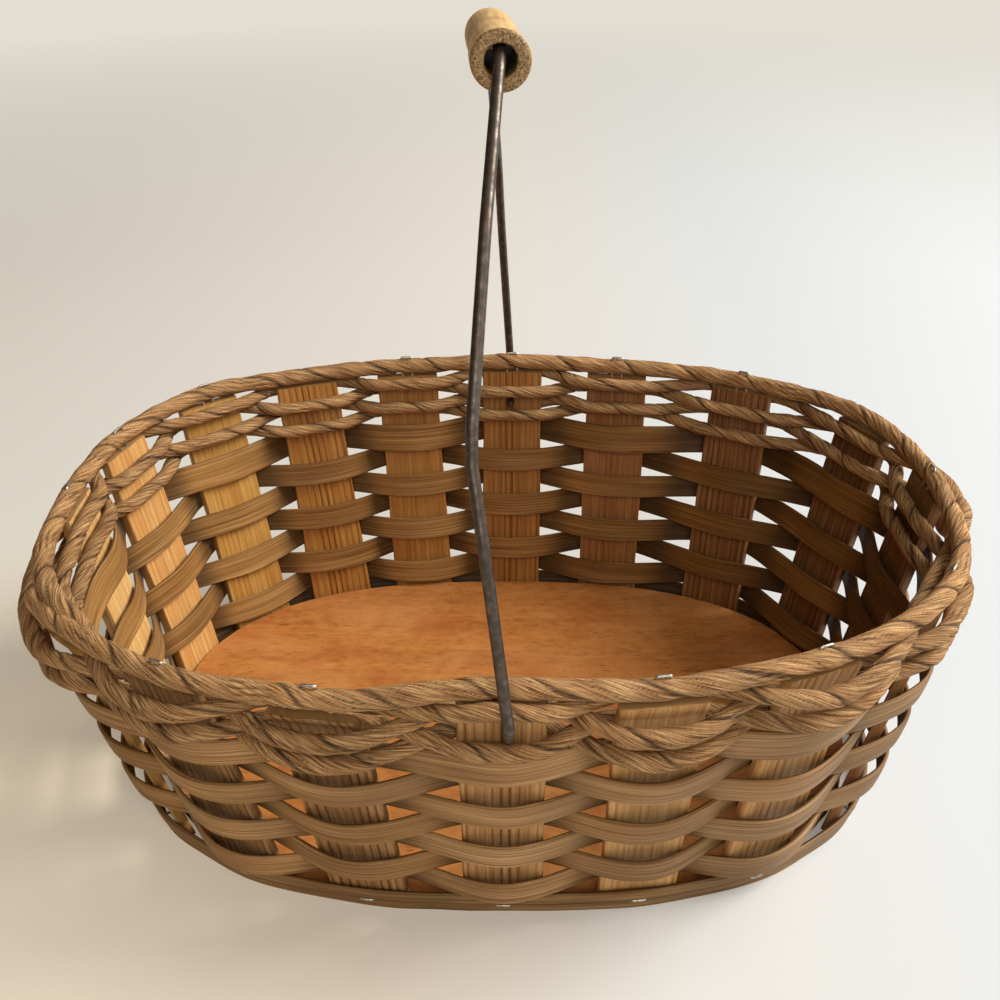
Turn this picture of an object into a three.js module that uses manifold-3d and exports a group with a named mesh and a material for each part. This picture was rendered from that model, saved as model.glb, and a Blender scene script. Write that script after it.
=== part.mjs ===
// A splint basket: an oval floor board in a hoop, seventeen leaning stakes, seven flat splint rows and
// four fibre rope rows woven round them, a rim rope stapled on top, and a steel bail with a turned grip.
// Millimetres, +Z up; the origin is the middle of the underside, +X the long way, -Y the front.
import * as THREE from "three";
import { mergeVertices } from "three/addons/utils/BufferGeometryUtils.js";
import Module from "manifold-3d";

const wasm = await Module();
wasm.setup();

// Driving dimensions: the oval
const footHalfLength = 164.4; // stake centre line at the floor, along X
const footHalfWidth = 115.5;
const rimHalfLength = 190; // stake centre line under the rim rope
const rimHalfWidth = 142.5;
const ovalPower = 2.5; // 2 is an ellipse, more is squarer

// Driving dimensions: floor and stakes
const boardThickness = 9;
const hoopHeight = 11;
const hoopThickness = 2.5;
const stakeWidth = 32;
const stakeThickness = 5;

// Driving dimensions: woven rows
const weaverWidth = 12.3;
const topWeaverWidth = 15.2;
const weaverThickness = 2.4;
const weaverBow = 4.6; // how much further a splint stands off the middle of a stake than its edges
const ropeHeight = 6; // a woven rope is squeezed flatter than it is deep
const ropeDepth = 7;
const rimRopeDiameter = 8.4;
const ropeFlatShare = 0.55; // how much of a rope's depth is level above and below
const edgeSlackShare = 0.6; // how much of the slack is left at the edges of a stake
const ropeDip = 6; // how far the ninth row sinks below the bail's holes
const edgeDipShare = 0.75;
const topRopeRise = 2; // the top woven rope is pulled up tight against the rim at the two bail stakes
const weaverRows = 7;
const ropeRows = 4;

// Driving dimensions: staples
const stapleWire = 1.2;
const stapleCrown = 6.5;
const stapleBite = 3; // how far the legs reach into the last piece

// Driving dimensions: bail and grip
const wireDiameter = 4.2;
const pivotSide = 2.5; // the pivot line is this far right of the middle
const bailReach = 207.3; // pivot line to the middle of the grip's axis
const hookRun = 4; // wire between the stake's face and its upward bend
const tipLength = 6; // wire that shows inside the stake
const hookRadius = 5;
const legBendRadius = 40;
const kinkRadius = 9;
const shoulderRadius = 12;
const pivotHoleDiameter = 7.5;
const gripLength = 110.5;
const gripDiameter = 20.8;
const gripWaistDiameter = 19.4;
const gripBoreDiameter = 11.2;
const gripChamfer = 1.2;
const grooveDepth = 0.7;
const grooveWidth = 1.6;
const gripDrop = 9.2; // the back end of the grip hangs this much lower than the front end
const gripSkew = 5.5; // and this much further left
const gripShift = 5.5; // the grip's middle lies this far left of the pivot line

const clearance = 0.3;
const rowGap = 0.35; // between a row and the face of a stake
const cutOverrun = 2;

const outside = 1;
const inside = -1;

// The stakes: name, the place of the foot as a share of the way round the oval from the right end, seen
// from above, how far the top has moved on from there, the lean out of the oval for each unit of height,
// the side that the odd rows pass, the rise of the rim and the slack of the ropes outside. There is an odd
// number of stakes, so at the left end the same rows pass two neighbours on the same side.
const stakes = [
  ["stake_right_end", 0.0094, 0, 0.015, outside, 0.004, 1.25],
  ["stake_back_right_3", 0.0655, -0.0005, 0.0075, inside, 0.006, 0.3],
  ["stake_back_right_2", 0.1241, 0.0084, 0, outside, -0.012, 0.3],
  ["stake_back_right_1", 0.1882, 0.0066, 0, inside, -0.012, 0.2],
  ["stake_back_centre", 0.2469, 0, 0, outside, 0, 0.15],
  ["stake_back_left_1", 0.3005, -0.001, 0, inside, -0.012, 0.2],
  ["stake_back_left_2", 0.3512, -0.0014, 0, outside, -0.014, 0.3],
  ["stake_back_left_3", 0.402, -0.0019, 0.0075, inside, 0, 0.3],
  ["stake_back_left_4", 0.4532, 0.001, 0.0075, outside, -0.004, 0.4],
  ["stake_left_end_back", 0.5031, 0, 0.019, inside, -0.012, 1],
  ["stake_left_end_front", 0.575, 0, 0.053, inside, -0.042, 0.8],
  ["stake_front_left_2", 0.6335, 0.002, 0.034, outside, -0.05, 0.7],
  ["stake_front_left_1", 0.6908, -0.0022, 0.015, inside, -0.045, 0.5],
  ["stake_front_centre", 0.75, 0, 0, outside, 0, 0.3],
  ["stake_front_right_1", 0.8095, -0.008, 0, inside, -0.012, 0.6],
  ["stake_front_right_2", 0.864, -0.0065, 0, outside, 0.004, 0.7],
  ["stake_front_right_3", 0.9313, 0, 0.0075, inside, 0.008, 0.1],
].map(([name, placeShare, fanShare, leanShare, oddRows, liftShare, slackShare]) => {
  return { name, placeShare, fanShare, leanShare, oddRows, liftShare, slackShare };
});
const backPivotStake = stakeNamed("stake_back_centre");
const frontPivotStake = stakeNamed("stake_front_centre");
const withoutRimStaple = ["stake_back_right_3", "stake_back_left_2", "stake_front_centre"];
const withoutHoopStaple = [
  "stake_back_right_3",
  "stake_back_right_1",
  "stake_back_left_1",
  "stake_back_left_3",
  "stake_left_end_back",
];

// The bail's route between its hooks: sideways and up as shares of its reach, out as a share of the
// distance of its legs from the middle
const frontLegShares = [
  { side: -0.036, out: 0.955, up: 0.37, radius: legBendRadius },
  { side: -0.056, out: 0.878, up: 0.5, radius: kinkRadius },
  { side: -0.056, out: 0.852, up: 0.555, radius: kinkRadius },
  { side: -0.036, out: 0.622, up: 0.815, radius: legBendRadius },
];
const backLegShares = [
  { side: -0.022, out: 0.942, up: 0.44, radius: legBendRadius },
  { side: -0.03, out: 0.853, up: 0.635, radius: legBendRadius },
  { side: -0.038, out: 0.609, up: 0.828, radius: legBendRadius },
];

// How finely round shapes are drawn
const ovalSteps = 1440;
const boardSteps = 80;
const wireSides = 8;
const bendSteps = 4;
const stakeSteps = 4; // a stake is bent a little with the wall
const holeSides = 12;
const gripSides = 24;

// Heights of the stacked rows
const weaverPitch = weaverWidth + clearance;
const ropePitch = ropeHeight + clearance;
const weaverFoot = hoopHeight + clearance;
const topWeaverFoot = weaverFoot + (weaverRows - 1) * weaverPitch;
const ropeFoot = topWeaverFoot + topWeaverWidth + clearance;
const rimHeight = ropeFoot + ropeRows * ropePitch + rimRopeDiameter / 2;
const rimFoot = rimHeight - rimRopeDiameter / 2;
const stakeTop = rimFoot - clearance;
const pivotRope = weaverRows + 2;
const topRopeRow = weaverRows + ropeRows;
const pivotHeight = ropeMiddle(pivotRope);
const pivotPlay = (pivotHoleDiameter - wireDiameter) / 2 - clearance;

const materials = {
  stake: new THREE.MeshStandardMaterial({ color: "#b07a3c", roughness: 0.75, metalness: 0 }),
  weaver: new THREE.MeshStandardMaterial({ color: "#85653f", roughness: 0.7, metalness: 0 }),
  rope: new THREE.MeshStandardMaterial({ color: "#8b6b3f", roughness: 0.85, metalness: 0 }),
  board: new THREE.MeshStandardMaterial({ color: "#b8743c", roughness: 0.65, metalness: 0 }),
  hoop: new THREE.MeshStandardMaterial({ color: "#8f6f45", roughness: 0.7, metalness: 0 }),
  wire: new THREE.MeshStandardMaterial({ color: "#5b5248", roughness: 0.45, metalness: 0.85 }),
  staple: new THREE.MeshStandardMaterial({ color: "#a9a69c", roughness: 0.4, metalness: 0.9 }),
  grip: new THREE.MeshStandardMaterial({ color: "#c9a676", roughness: 0.55, metalness: 0 }),
};

function stakeNamed(name) {
  return stakes.findIndex((stake) => stake.name === name);
}

function ropeMiddle(row) {
  return ropeFoot + (row - weaverRows - 1) * ropePitch + ropeHeight / 2;
}

// The oval: points of a superellipse, with the way walked so far, so that a share gives a place
function ovalTable(halfLength, halfWidth) {
  const points = [];
  for (let i = 0; i <= ovalSteps; i += 1) {
    const turn = (i / ovalSteps) * 2 * Math.PI;
    const x = halfLength * Math.sign(Math.cos(turn)) * Math.abs(Math.cos(turn)) ** (2 / ovalPower);
    const y = halfWidth * Math.sign(Math.sin(turn)) * Math.abs(Math.sin(turn)) ** (2 / ovalPower);
    points.push(new THREE.Vector2(x, y));
  }
  const walked = [0];
  for (let i = 1; i <= ovalSteps; i += 1) {
    walked.push(walked[i - 1] + points[i].distanceTo(points[i - 1]));
  }
  return { points, walked };
}

const footOval = ovalTable(footHalfLength, footHalfWidth);
const rimOval = ovalTable(rimHalfLength, rimHalfWidth);

function ovalPoint(table, share) {
  const whole = table.walked[ovalSteps];
  const target = THREE.MathUtils.euclideanModulo(share, 1) * whole;
  let low = 0;
  let high = ovalSteps;
  while (high - low > 1) {
    const middle = (low + high) >> 1;
    if (table.walked[middle] <= target) low = middle;
    else high = middle;
  }
  const part = (target - table.walked[low]) / (table.walked[high] - table.walked[low]);
  return table.points[low].clone().lerp(table.points[high], part);
}

// A place on the leaning wall's middle surface, by share and height, and the outward level normal there
function wallPoint(share, z) {
  return ovalPoint(footOval, share).lerp(ovalPoint(rimOval, share), z / rimHeight);
}

function wallNormal(share) {
  const span = 8 / ovalSteps;
  const along = wallPoint(share + span, stakeTop / 2).sub(wallPoint(share - span, stakeTop / 2));
  return new THREE.Vector2(along.y, -along.x).normalize();
}

// A stake's place moves on from its foot to its top
function placeAt(stake, z) {
  return stake.placeShare + (stake.fanShare * z) / rimHeight;
}

stakes.forEach((stake) => {
  stake.normal = wallNormal(placeAt(stake, rimHeight / 2));
  stake.along = new THREE.Vector2(-stake.normal.y, stake.normal.x);
});

// A place in a stake's own frame: along its width, out from its middle, at a nominal height
function stakePoint(stake, along, out, z) {
  const flat = wallPoint(placeAt(stake, z), z);
  const leanOut = out + stake.leanShare * z;
  flat.addScaledVector(stake.along, along).addScaledVector(stake.normal, leanOut);
  return new THREE.Vector3(flat.x, flat.y, lifted(z, stake.liftShare));
}

// The rim isn't level: a nominal height rises or sinks with the square of its share of the whole
function lifted(z, liftShare) {
  return z * (1 + (liftShare * z) / rimHeight);
}

// Stations of a ring that passes every stake and every gap. At a station, place(out, z) gives a point,
// blend goes from 0 at the stake with this index to 1 at the next one, and crown is 1 over the middle of
// a stake and 0 from its edges on.
function ringStations(alongShares, gapShares) {
  const stations = [];
  const halfSpan = (stakeWidth + weaverThickness) / 2;
  const halfSpanShare = halfSpan / rimOval.walked[ovalSteps];
  stakes.forEach((stake, index) => {
    const next = stakes[(index + 1) % stakes.length];
    alongShares.forEach((alongShare) => {
      const place = (out, z) => stakePoint(stake, alongShare * halfSpan, out, z);
      stations.push({ index, blend: 0, crown: 1 - alongShare ** 2, place });
    });
    const wrap = next.placeShare < stake.placeShare ? 1 : 0;
    gapShares.forEach((gapShare) => {
      const shareAt = (z) =>
        THREE.MathUtils.lerp(
          placeAt(stake, z) + halfSpanShare,
          placeAt(next, z) + wrap - halfSpanShare,
          gapShare,
        );
      const normal = wallNormal(shareAt(rimHeight / 2));
      const liftShare = THREE.MathUtils.lerp(stake.liftShare, next.liftShare, gapShare);
      const leanShare = THREE.MathUtils.lerp(stake.leanShare, next.leanShare, gapShare);
      const place = (out, z) => {
        const flat = wallPoint(shareAt(z), z).addScaledVector(normal, out + leanShare * z);
        return new THREE.Vector3(flat.x, flat.y, lifted(z, liftShare));
      };
      const blend = (1 - Math.cos(gapShare * Math.PI)) / 2;
      stations.push({ index, blend, crown: 0, place });
    });
  });
  return stations;
}

const wovenStations = ringStations([-1, -0.5, 0, 0.5, 1], [0.25, 0.5, 0.75]);
const plainStations = ringStations([-1, 1], [1 / 3, 2 / 3]);

// A value that each stake sets, smoothly changed over between one and the next
function blended(station, valueAt) {
  const next = (station.index + 1) % stakes.length;
  return THREE.MathUtils.lerp(valueAt(station.index), valueAt(next), station.blend);
}

// A solid swept through sections that all have the same number of corners, as a ring or with flat ends
function sweptSolid(sections, closed) {
  const corners = sections[0].length;
  const positions = [];
  const faces = [];
  sections.forEach((section) => section.forEach((corner) => positions.push(...corner.toArray())));
  const runs = closed ? sections.length : sections.length - 1;
  for (let i = 0; i < runs; i += 1) {
    for (let j = 0; j < corners; j += 1) {
      const a = i * corners + j;
      const b = i * corners + ((j + 1) % corners);
      const c = ((i + 1) % sections.length) * corners + j;
      const d = ((i + 1) % sections.length) * corners + ((j + 1) % corners);
      faces.push(a, c, b, b, c, d);
    }
  }
  if (!closed) {
    const last = (sections.length - 1) * corners;
    for (let j = 1; j < corners - 1; j += 1) {
      faces.push(0, j, j + 1);
      faces.push(last, last + j + 1, last + j);
    }
  }
  const geometry = new THREE.BufferGeometry();
  geometry.setAttribute("position", new THREE.Float32BufferAttribute(positions, 3));
  geometry.setIndex(faces);
  return geometry;
}

function atBail(index) {
  return index === backPivotStake || index === frontPivotStake;
}

// Which side of a stake a row passes
function sideOf(row, index) {
  return row % 2 === 1 ? stakes[index].oddRows : -stakes[index].oddRows;
}

// A flat splint row: a band as tall as its width that follows the lean of the wall
function weaverGeometry(row) {
  const height = row === weaverRows ? topWeaverWidth : weaverWidth;
  const foot = weaverFoot + (row - 1) * weaverPitch;
  const reach = stakeThickness / 2 + rowGap + weaverThickness / 2;
  const sections = wovenStations.map((station) => {
    const stand = reach + weaverBow * station.crown;
    const out = blended(station, (index) => sideOf(row, index) * stand);
    return [
      station.place(out + weaverThickness / 2, foot),
      station.place(out + weaverThickness / 2, foot + height),
      station.place(out - weaverThickness / 2, foot + height),
      station.place(out - weaverThickness / 2, foot),
    ];
  });
  return sweptSolid(sections, true);
}

// A rope row: a six-sided tube, deeper than tall. Its slack stands off the stakes that it passes outside.
function ropeGeometry(row) {
  const middle = ropeMiddle(row);
  const reach = stakeThickness / 2 + rowGap + ropeDepth / 2;
  const halfDepth = ropeDepth / 2;
  const halfHeight = ropeHeight / 2;
  const sections = wovenStations.map((station) => {
    const slackPart = THREE.MathUtils.lerp(edgeSlackShare, 1, station.crown);
    const out = blended(station, (index) => {
      const loose = sideOf(row, index) === outside && !(row === topRopeRow && atBail(index));
      const slack = loose ? stakes[index].slackShare * ropeDepth : 0;
      return sideOf(row, index) * (reach + slackPart * slack);
    });
    const onBailStake = atBail(station.index) && station.blend === 0;
    const sink = row === pivotRope ? ropeDip * THREE.MathUtils.lerp(edgeDipShare, 1, station.crown) : 0;
    const rise = row === topRopeRow ? topRopeRise * station.crown : 0;
    const dip = onBailStake ? sink - rise : 0;
    const corner = (outShare, upShare) =>
      station.place(out + outShare * halfDepth, middle - dip + upShare * halfHeight);
    return [
      corner(1, 0),
      corner(ropeFlatShare, 1),
      corner(-ropeFlatShare, 1),
      corner(-1, 0),
      corner(-ropeFlatShare, -1),
      corner(ropeFlatShare, -1),
    ];
  });
  return sweptSolid(sections, true);
}

// The rim rope: an eight-sided tube that lies on the sawn tops of the stakes
function rimRopeGeometry() {
  const sides = 8;
  const corner = rimRopeDiameter / 2 / Math.cos(Math.PI / sides);
  const sections = plainStations.map((station) =>
    Array.from({ length: sides }, (_, i) => {
      const turn = ((i + 0.5) / sides) * 2 * Math.PI;
      const point = station.place(corner * Math.cos(turn), rimHeight);
      return point.setZ(station.place(0, rimFoot).z + rimRopeDiameter / 2 + corner * Math.sin(turn));
    }),
  );
  return sweptSolid(sections, true);
}

function hoopGeometry() {
  const inside = stakeThickness / 2 + clearance;
  const sections = plainStations.map((station) => [
    station.place(inside + hoopThickness, 0),
    station.place(inside + hoopThickness, hoopHeight),
    station.place(inside, hoopHeight),
    station.place(inside, 0),
  ]);
  return sweptSolid(sections, true);
}

function stakeGeometry(stake) {
  const section = (z) => [
    stakePoint(stake, stakeWidth / 2, -stakeThickness / 2, z),
    stakePoint(stake, stakeWidth / 2, stakeThickness / 2, z),
    stakePoint(stake, -stakeWidth / 2, stakeThickness / 2, z),
    stakePoint(stake, -stakeWidth / 2, -stakeThickness / 2, z),
  ];
  const heights = Array.from({ length: stakeSteps + 1 }, (_, i) =>
    THREE.MathUtils.lerp(clearance, stakeTop, i / stakeSteps),
  );
  return sweptSolid(heights.map(section), false);
}

function boardGeometry() {
  const inset = stakeThickness / 2 + clearance;
  const outline = Array.from({ length: boardSteps }, (_, i) => {
    const share = i / boardSteps;
    return wallPoint(share, 0).addScaledVector(wallNormal(share), -inset);
  });
  const shape = new THREE.Shape(outline);
  return new THREE.ExtrudeGeometry(shape, { depth: boardThickness, bevelEnabled: false, steps: 1 });
}

// A round or square section about a path, turned smoothly from point to point
function tubeSections(points, radius, sides) {
  const sections = [];
  let across = null;
  points.forEach((point, i) => {
    const before = points[Math.max(i - 1, 0)];
    const after = points[Math.min(i + 1, points.length - 1)];
    const ahead = after.clone().sub(before).normalize();
    if (!across) across = new THREE.Vector3(1, 0, 0);
    across.addScaledVector(ahead, -across.dot(ahead)).normalize();
    const up = across.clone().cross(ahead);
    sections.push(
      Array.from({ length: sides }, (_, j) => {
        const turn = ((j + 0.5) / sides) * 2 * Math.PI;
        return point
          .clone()
          .addScaledVector(across, radius * Math.cos(turn))
          .addScaledVector(up, radius * Math.sin(turn));
      }),
    );
  });
  return sections;
}

// The points of a bent wire: straight runs whose corners are rounded to their radii
function bentPath(corners) {
  const points = [corners[0].at];
  for (let i = 1; i < corners.length - 1; i += 1) {
    const here = corners[i].at;
    const back = corners[i - 1].at.clone().sub(here);
    const ahead = corners[i + 1].at.clone().sub(here);
    const half = back.angleTo(ahead) / 2;
    const wanted = corners[i].radius / Math.tan(half);
    const cutBack = Math.min(wanted, back.length() * 0.48, ahead.length() * 0.48);
    const start = here.clone().addScaledVector(back.normalize(), cutBack);
    const end = here.clone().addScaledVector(ahead.normalize(), cutBack);
    const bend = new THREE.QuadraticBezierCurve3(start, here, end);
    points.push(...bend.getPoints(bendSteps));
  }
  points.push(corners[corners.length - 1].at);
  return points;
}

// Where the wire's legs stand: clear of the eleventh row over the pivot stakes, and the grip's two ends
const pivotStake = stakes[frontPivotStake];
const wireRadius = wireDiameter / 2;
const topRope = ropeMiddle(weaverRows + ropeRows);
const topRopeOut = stakeThickness / 2 + rowGap + ropeDepth * (1 + pivotStake.slackShare);
const legOut = wallHalfWidth(topRope) + topRopeOut + rowGap + wireRadius;
const gripMiddle = new THREE.Vector3(pivotSide - gripShift, 0, pivotHeight + bailReach);
const gripAxis = new THREE.Vector3(-gripSkew, gripLength, -gripDrop).normalize();
const wireOffAxis = gripBoreDiameter / 2 - wireRadius - clearance;

function wallHalfWidth(z) {
  return footHalfWidth + ((rimHalfWidth - footHalfWidth) * z) / rimHeight;
}

function legCorners(toSide, legShares) {
  const face = wallHalfWidth(pivotHeight);
  const at = (x, y, z) => new THREE.Vector3(pivotSide + x, toSide * y, z);
  const tip = face - stakeThickness / 2 - tipLength;
  const hook = face + stakeThickness / 2 + hookRun;
  const corners = [
    { at: at(0, tip, pivotHeight) },
    { at: at(0, hook, pivotHeight), radius: hookRadius },
    { at: at(0, legOut, topRope), radius: hookRadius },
  ];
  legShares.forEach(({ side, out, up, radius }) => {
    corners.push({ at: at(side * bailReach, out * legOut, pivotHeight + up * bailReach), radius });
  });
  return corners;
}

function shoulder(toSide) {
  const reach = toSide * (gripLength / 2 - gripBoreDiameter / 4);
  const at = gripMiddle.clone().addScaledVector(gripAxis, reach);
  at.z += wireOffAxis;
  return { at, radius: shoulderRadius };
}

function bailGeometry() {
  const front = legCorners(-1, frontLegShares);
  const back = legCorners(1, backLegShares);
  const corners = [...front, shoulder(-1), shoulder(1), ...back.reverse()];
  return sweptSolid(tubeSections(bentPath(corners), wireRadius, wireSides), false);
}

// The turned grip: a bored cylinder with eased ends, a slight waist and two grooves near each end
function gripGeometry() {
  const half = gripLength / 2;
  const bore = gripBoreDiameter / 2;
  const round = gripDiameter / 2;
  const waist = gripWaistDiameter / 2;
  const grooveAt = [half * 0.82, half * 0.64];
  const right = [new THREE.Vector2(waist, 0)];
  grooveAt
    .slice()
    .reverse()
    .forEach((place) => {
      right.push(new THREE.Vector2(round, place - grooveWidth));
      right.push(new THREE.Vector2(round - grooveDepth, place - grooveWidth / 2));
      right.push(new THREE.Vector2(round, place));
    });
  right.push(new THREE.Vector2(round, half - gripChamfer));
  right.push(new THREE.Vector2(round - gripChamfer, half));
  right.push(new THREE.Vector2(bore, half));
  const left = right.map((point) => new THREE.Vector2(point.x, -point.y)).reverse();
  const profile = [...left.slice(0, -1), ...right, left[0].clone()];
  return new THREE.LatheGeometry(profile, gripSides);
}

// A staple: square wire bent to a crown and two legs that point inward from the middle of the crown
function stapleGeometry({ middle, along, inward, legLength }) {
  const half = stapleCrown / 2;
  const inner = half - stapleWire;
  const crown = stapleWire / 2;
  const outline = [
    [-half, -crown],
    [half, -crown],
    [half, legLength],
    [inner, legLength],
    [inner, crown],
    [-inner, crown],
    [-inner, legLength],
    [-half, legLength],
  ];
  const shape = new THREE.Shape(outline.map(([x, y]) => new THREE.Vector2(x, y)));
  const geometry = new THREE.ExtrudeGeometry(shape, { depth: stapleWire, bevelEnabled: false });
  geometry.translate(0, 0, -stapleWire / 2);
  return geometry.applyMatrix4(stapleFrame(middle, along, inward));
}

function stapleFrame(middle, along, inward) {
  const across = along.clone().cross(inward);
  return new THREE.Matrix4().makeBasis(along, inward, across).setPosition(middle);
}

function rimStaple(stake) {
  const middle = stakePoint(stake, 0, 0, rimHeight);
  const foot = stakePoint(stake, 0, 0, rimFoot).z;
  middle.setZ(foot + rimRopeDiameter + clearance + stapleWire / 2);
  const rise = stakePoint(stake, 0, 0, rimHeight).sub(stakePoint(stake, 0, 0, 0)).normalize();
  const along = new THREE.Vector3(stake.along.x, stake.along.y, 0);
  const inward = rise.negate();
  const legLength = rimRopeDiameter + 2 * clearance + stapleBite + stapleWire / 2;
  return { middle, along, inward, legLength };
}

function hoopStaple(stake) {
  const face = stakeThickness / 2 + clearance + hoopThickness;
  const middle = stakePoint(stake, 0, face + clearance + stapleWire / 2, hoopHeight / 2);
  const along = new THREE.Vector3(stake.along.x, stake.along.y, 0);
  const inward = new THREE.Vector3(-stake.normal.x, -stake.normal.y, 0);
  const layers = hoopThickness + stakeThickness + 3 * clearance;
  const lean = (wallHalfWidth(rimHeight) - wallHalfWidth(0)) * (hoopHeight / 2 / rimHeight);
  return { middle, along, inward, legLength: layers + lean + stapleBite };
}

// The holes for a staple's legs: square, one clearance wider all round than the leg
function legHoles({ middle, along, inward, legLength }) {
  const width = stapleWire + 2 * clearance;
  const length = legLength + 2 * clearance;
  const half = (stapleCrown - stapleWire) / 2;
  return [-half, half].map((x) => {
    const box = new THREE.BoxGeometry(width, length, width);
    box.translate(x, length / 2, 0);
    return box.applyMatrix4(stapleFrame(middle, along, inward));
  });
}

// Booleans
function solidOf(geometry) {
  const bare = geometry.clone();
  bare.deleteAttribute("normal");
  bare.deleteAttribute("uv");
  const merged = mergeVertices(bare);
  return new wasm.Manifold(
    new wasm.Mesh({
      numProp: 3,
      vertProperties: new Float32Array(merged.attributes.position.array),
      triVerts: new Uint32Array(merged.index.array),
    }),
  );
}

function cut(geometry, tools) {
  let solid = solidOf(geometry);
  tools.forEach((tool) => {
    solid = solid.subtract(solidOf(tool));
  });
  const mesh = solid.getMesh();
  const result = new THREE.BufferGeometry();
  result.setAttribute("position", new THREE.BufferAttribute(mesh.vertProperties, 3));
  result.setIndex(new THREE.BufferAttribute(mesh.triVerts, 1));
  return result;
}

// The pivot hole: a level bore along Y, set a little high so that the wire rests in the bottom of it
function pivotBore(stake) {
  const bore = new THREE.CylinderGeometry(
    pivotHoleDiameter / 2,
    pivotHoleDiameter / 2,
    stakeThickness + 2 * cutOverrun,
    holeSides,
  );
  const middle = stakePoint(stake, 0, 0, pivotHeight);
  bore.translate(pivotSide, middle.y, pivotHeight + pivotPlay);
  return bore;
}

const basket = new THREE.Group();

function addPiece(parent, name, geometry, material) {
  const flat = geometry.index ? geometry.toNonIndexed() : geometry;
  flat.computeVertexNormals();
  const mesh = new THREE.Mesh(flat, material);
  mesh.name = name;
  parent.add(mesh);
  return mesh;
}

const rimStaples = staplesOn(withoutRimStaple, rimStaple);
const hoopStaples = staplesOn(withoutHoopStaple, hoopStaple);
const rimHoles = [...rimStaples.values()].flatMap(legHoles);
const hoopHoles = [...hoopStaples.values()].flatMap(legHoles);

function staplesOn(without, makeStaple) {
  const stapled = stakes.filter((stake) => !without.includes(stake.name));
  return new Map(stapled.map((stake) => [stake.name, makeStaple(stake)]));
}

addPiece(basket, "base_board", cut(boardGeometry(), hoopHoles), materials.board);
addPiece(basket, "bottom_hoop", cut(hoopGeometry(), hoopHoles), materials.hoop);

stakes.forEach((stake, index) => {
  const staples = [rimStaples.get(stake.name), hoopStaples.get(stake.name)].filter(Boolean);
  const tools = staples.flatMap(legHoles);
  if (index === backPivotStake || index === frontPivotStake) tools.push(pivotBore(stake));
  addPiece(basket, stake.name, cut(stakeGeometry(stake), tools), materials.stake);
});

for (let row = 1; row <= weaverRows; row += 1) {
  addPiece(basket, `weaver_row_${row}`, weaverGeometry(row), materials.weaver);
}

for (let row = weaverRows + 1; row <= weaverRows + ropeRows; row += 1) {
  addPiece(basket, `rope_row_${row}`, ropeGeometry(row), materials.rope);
}

addPiece(basket, "rim_rope", cut(rimRopeGeometry(), rimHoles), materials.rope);

rimStaples.forEach((staple, stakeName) => {
  const name = stakeName.replace("stake", "rim_staple");
  addPiece(basket, name, stapleGeometry(staple), materials.staple);
});

hoopStaples.forEach((staple, stakeName) => {
  const name = stakeName.replace("stake", "hoop_staple");
  addPiece(basket, name, stapleGeometry(staple), materials.staple);
});

const bail = new THREE.Group();
basket.add(bail);
addPiece(bail, "bail_wire", bailGeometry(), materials.wire);

const grip = new THREE.Group();
grip.position.copy(gripMiddle);
grip.quaternion.setFromUnitVectors(new THREE.Vector3(0, 1, 0), gripAxis);
bail.add(grip);
addPiece(grip, "grip", gripGeometry(), materials.grip);

export default basket;
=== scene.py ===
import math

import bpy
import numpy as np
from mathutils import Matrix, Vector


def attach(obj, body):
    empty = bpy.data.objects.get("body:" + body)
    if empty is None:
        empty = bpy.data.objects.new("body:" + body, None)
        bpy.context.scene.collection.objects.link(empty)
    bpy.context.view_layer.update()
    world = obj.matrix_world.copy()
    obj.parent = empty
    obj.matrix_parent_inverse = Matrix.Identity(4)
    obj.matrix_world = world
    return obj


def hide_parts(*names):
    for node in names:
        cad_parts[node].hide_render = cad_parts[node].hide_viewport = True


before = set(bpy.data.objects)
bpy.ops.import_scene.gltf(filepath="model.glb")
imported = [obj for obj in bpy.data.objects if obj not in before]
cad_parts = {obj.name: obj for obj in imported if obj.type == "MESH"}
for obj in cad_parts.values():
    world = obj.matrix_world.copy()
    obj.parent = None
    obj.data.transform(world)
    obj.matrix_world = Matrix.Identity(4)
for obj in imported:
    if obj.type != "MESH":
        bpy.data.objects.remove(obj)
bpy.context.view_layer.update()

mm = 0.001

# The basket's own sizes, as the part has them: its ovals at the floor and at the rim
FOOT_HALF_LENGTH = 164.4 * mm
FOOT_HALF_WIDTH = 115.5 * mm
RIM_HALF_LENGTH = 190 * mm
RIM_HALF_WIDTH = 142.5 * mm
OVAL_POWER = 2.5

# Stakes, hoop, splints and ropes
HOOP_HEIGHT = 11 * mm
HOOP_THICKNESS = 2.5 * mm
STAKE_WIDTH = 32 * mm
STAKE_THICKNESS = 5 * mm
SPLINT_WIDTH = 12.3 * mm
TOP_SPLINT_WIDTH = 15.2 * mm
SPLINT_THICKNESS = 2.4 * mm
SPLINT_BOW = 4.6 * mm
INSIDE_BOW = 2.5 * mm
ROPE_HEIGHT = 6 * mm
ROPE_DEPTH = 7 * mm
RIM_ROPE_DIAMETER = 8.4 * mm
ROPE_DIP = 6 * mm
EDGE_SLACK_SHARE = 0.6
EDGE_DIP_SHARE = 0.75
TOP_ROPE_RISE = 2 * mm
SPLINT_ROWS = 7
ROPE_ROWS = 4
CLEARANCE = 0.3 * mm
ROW_GAP = 0.35 * mm

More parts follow.
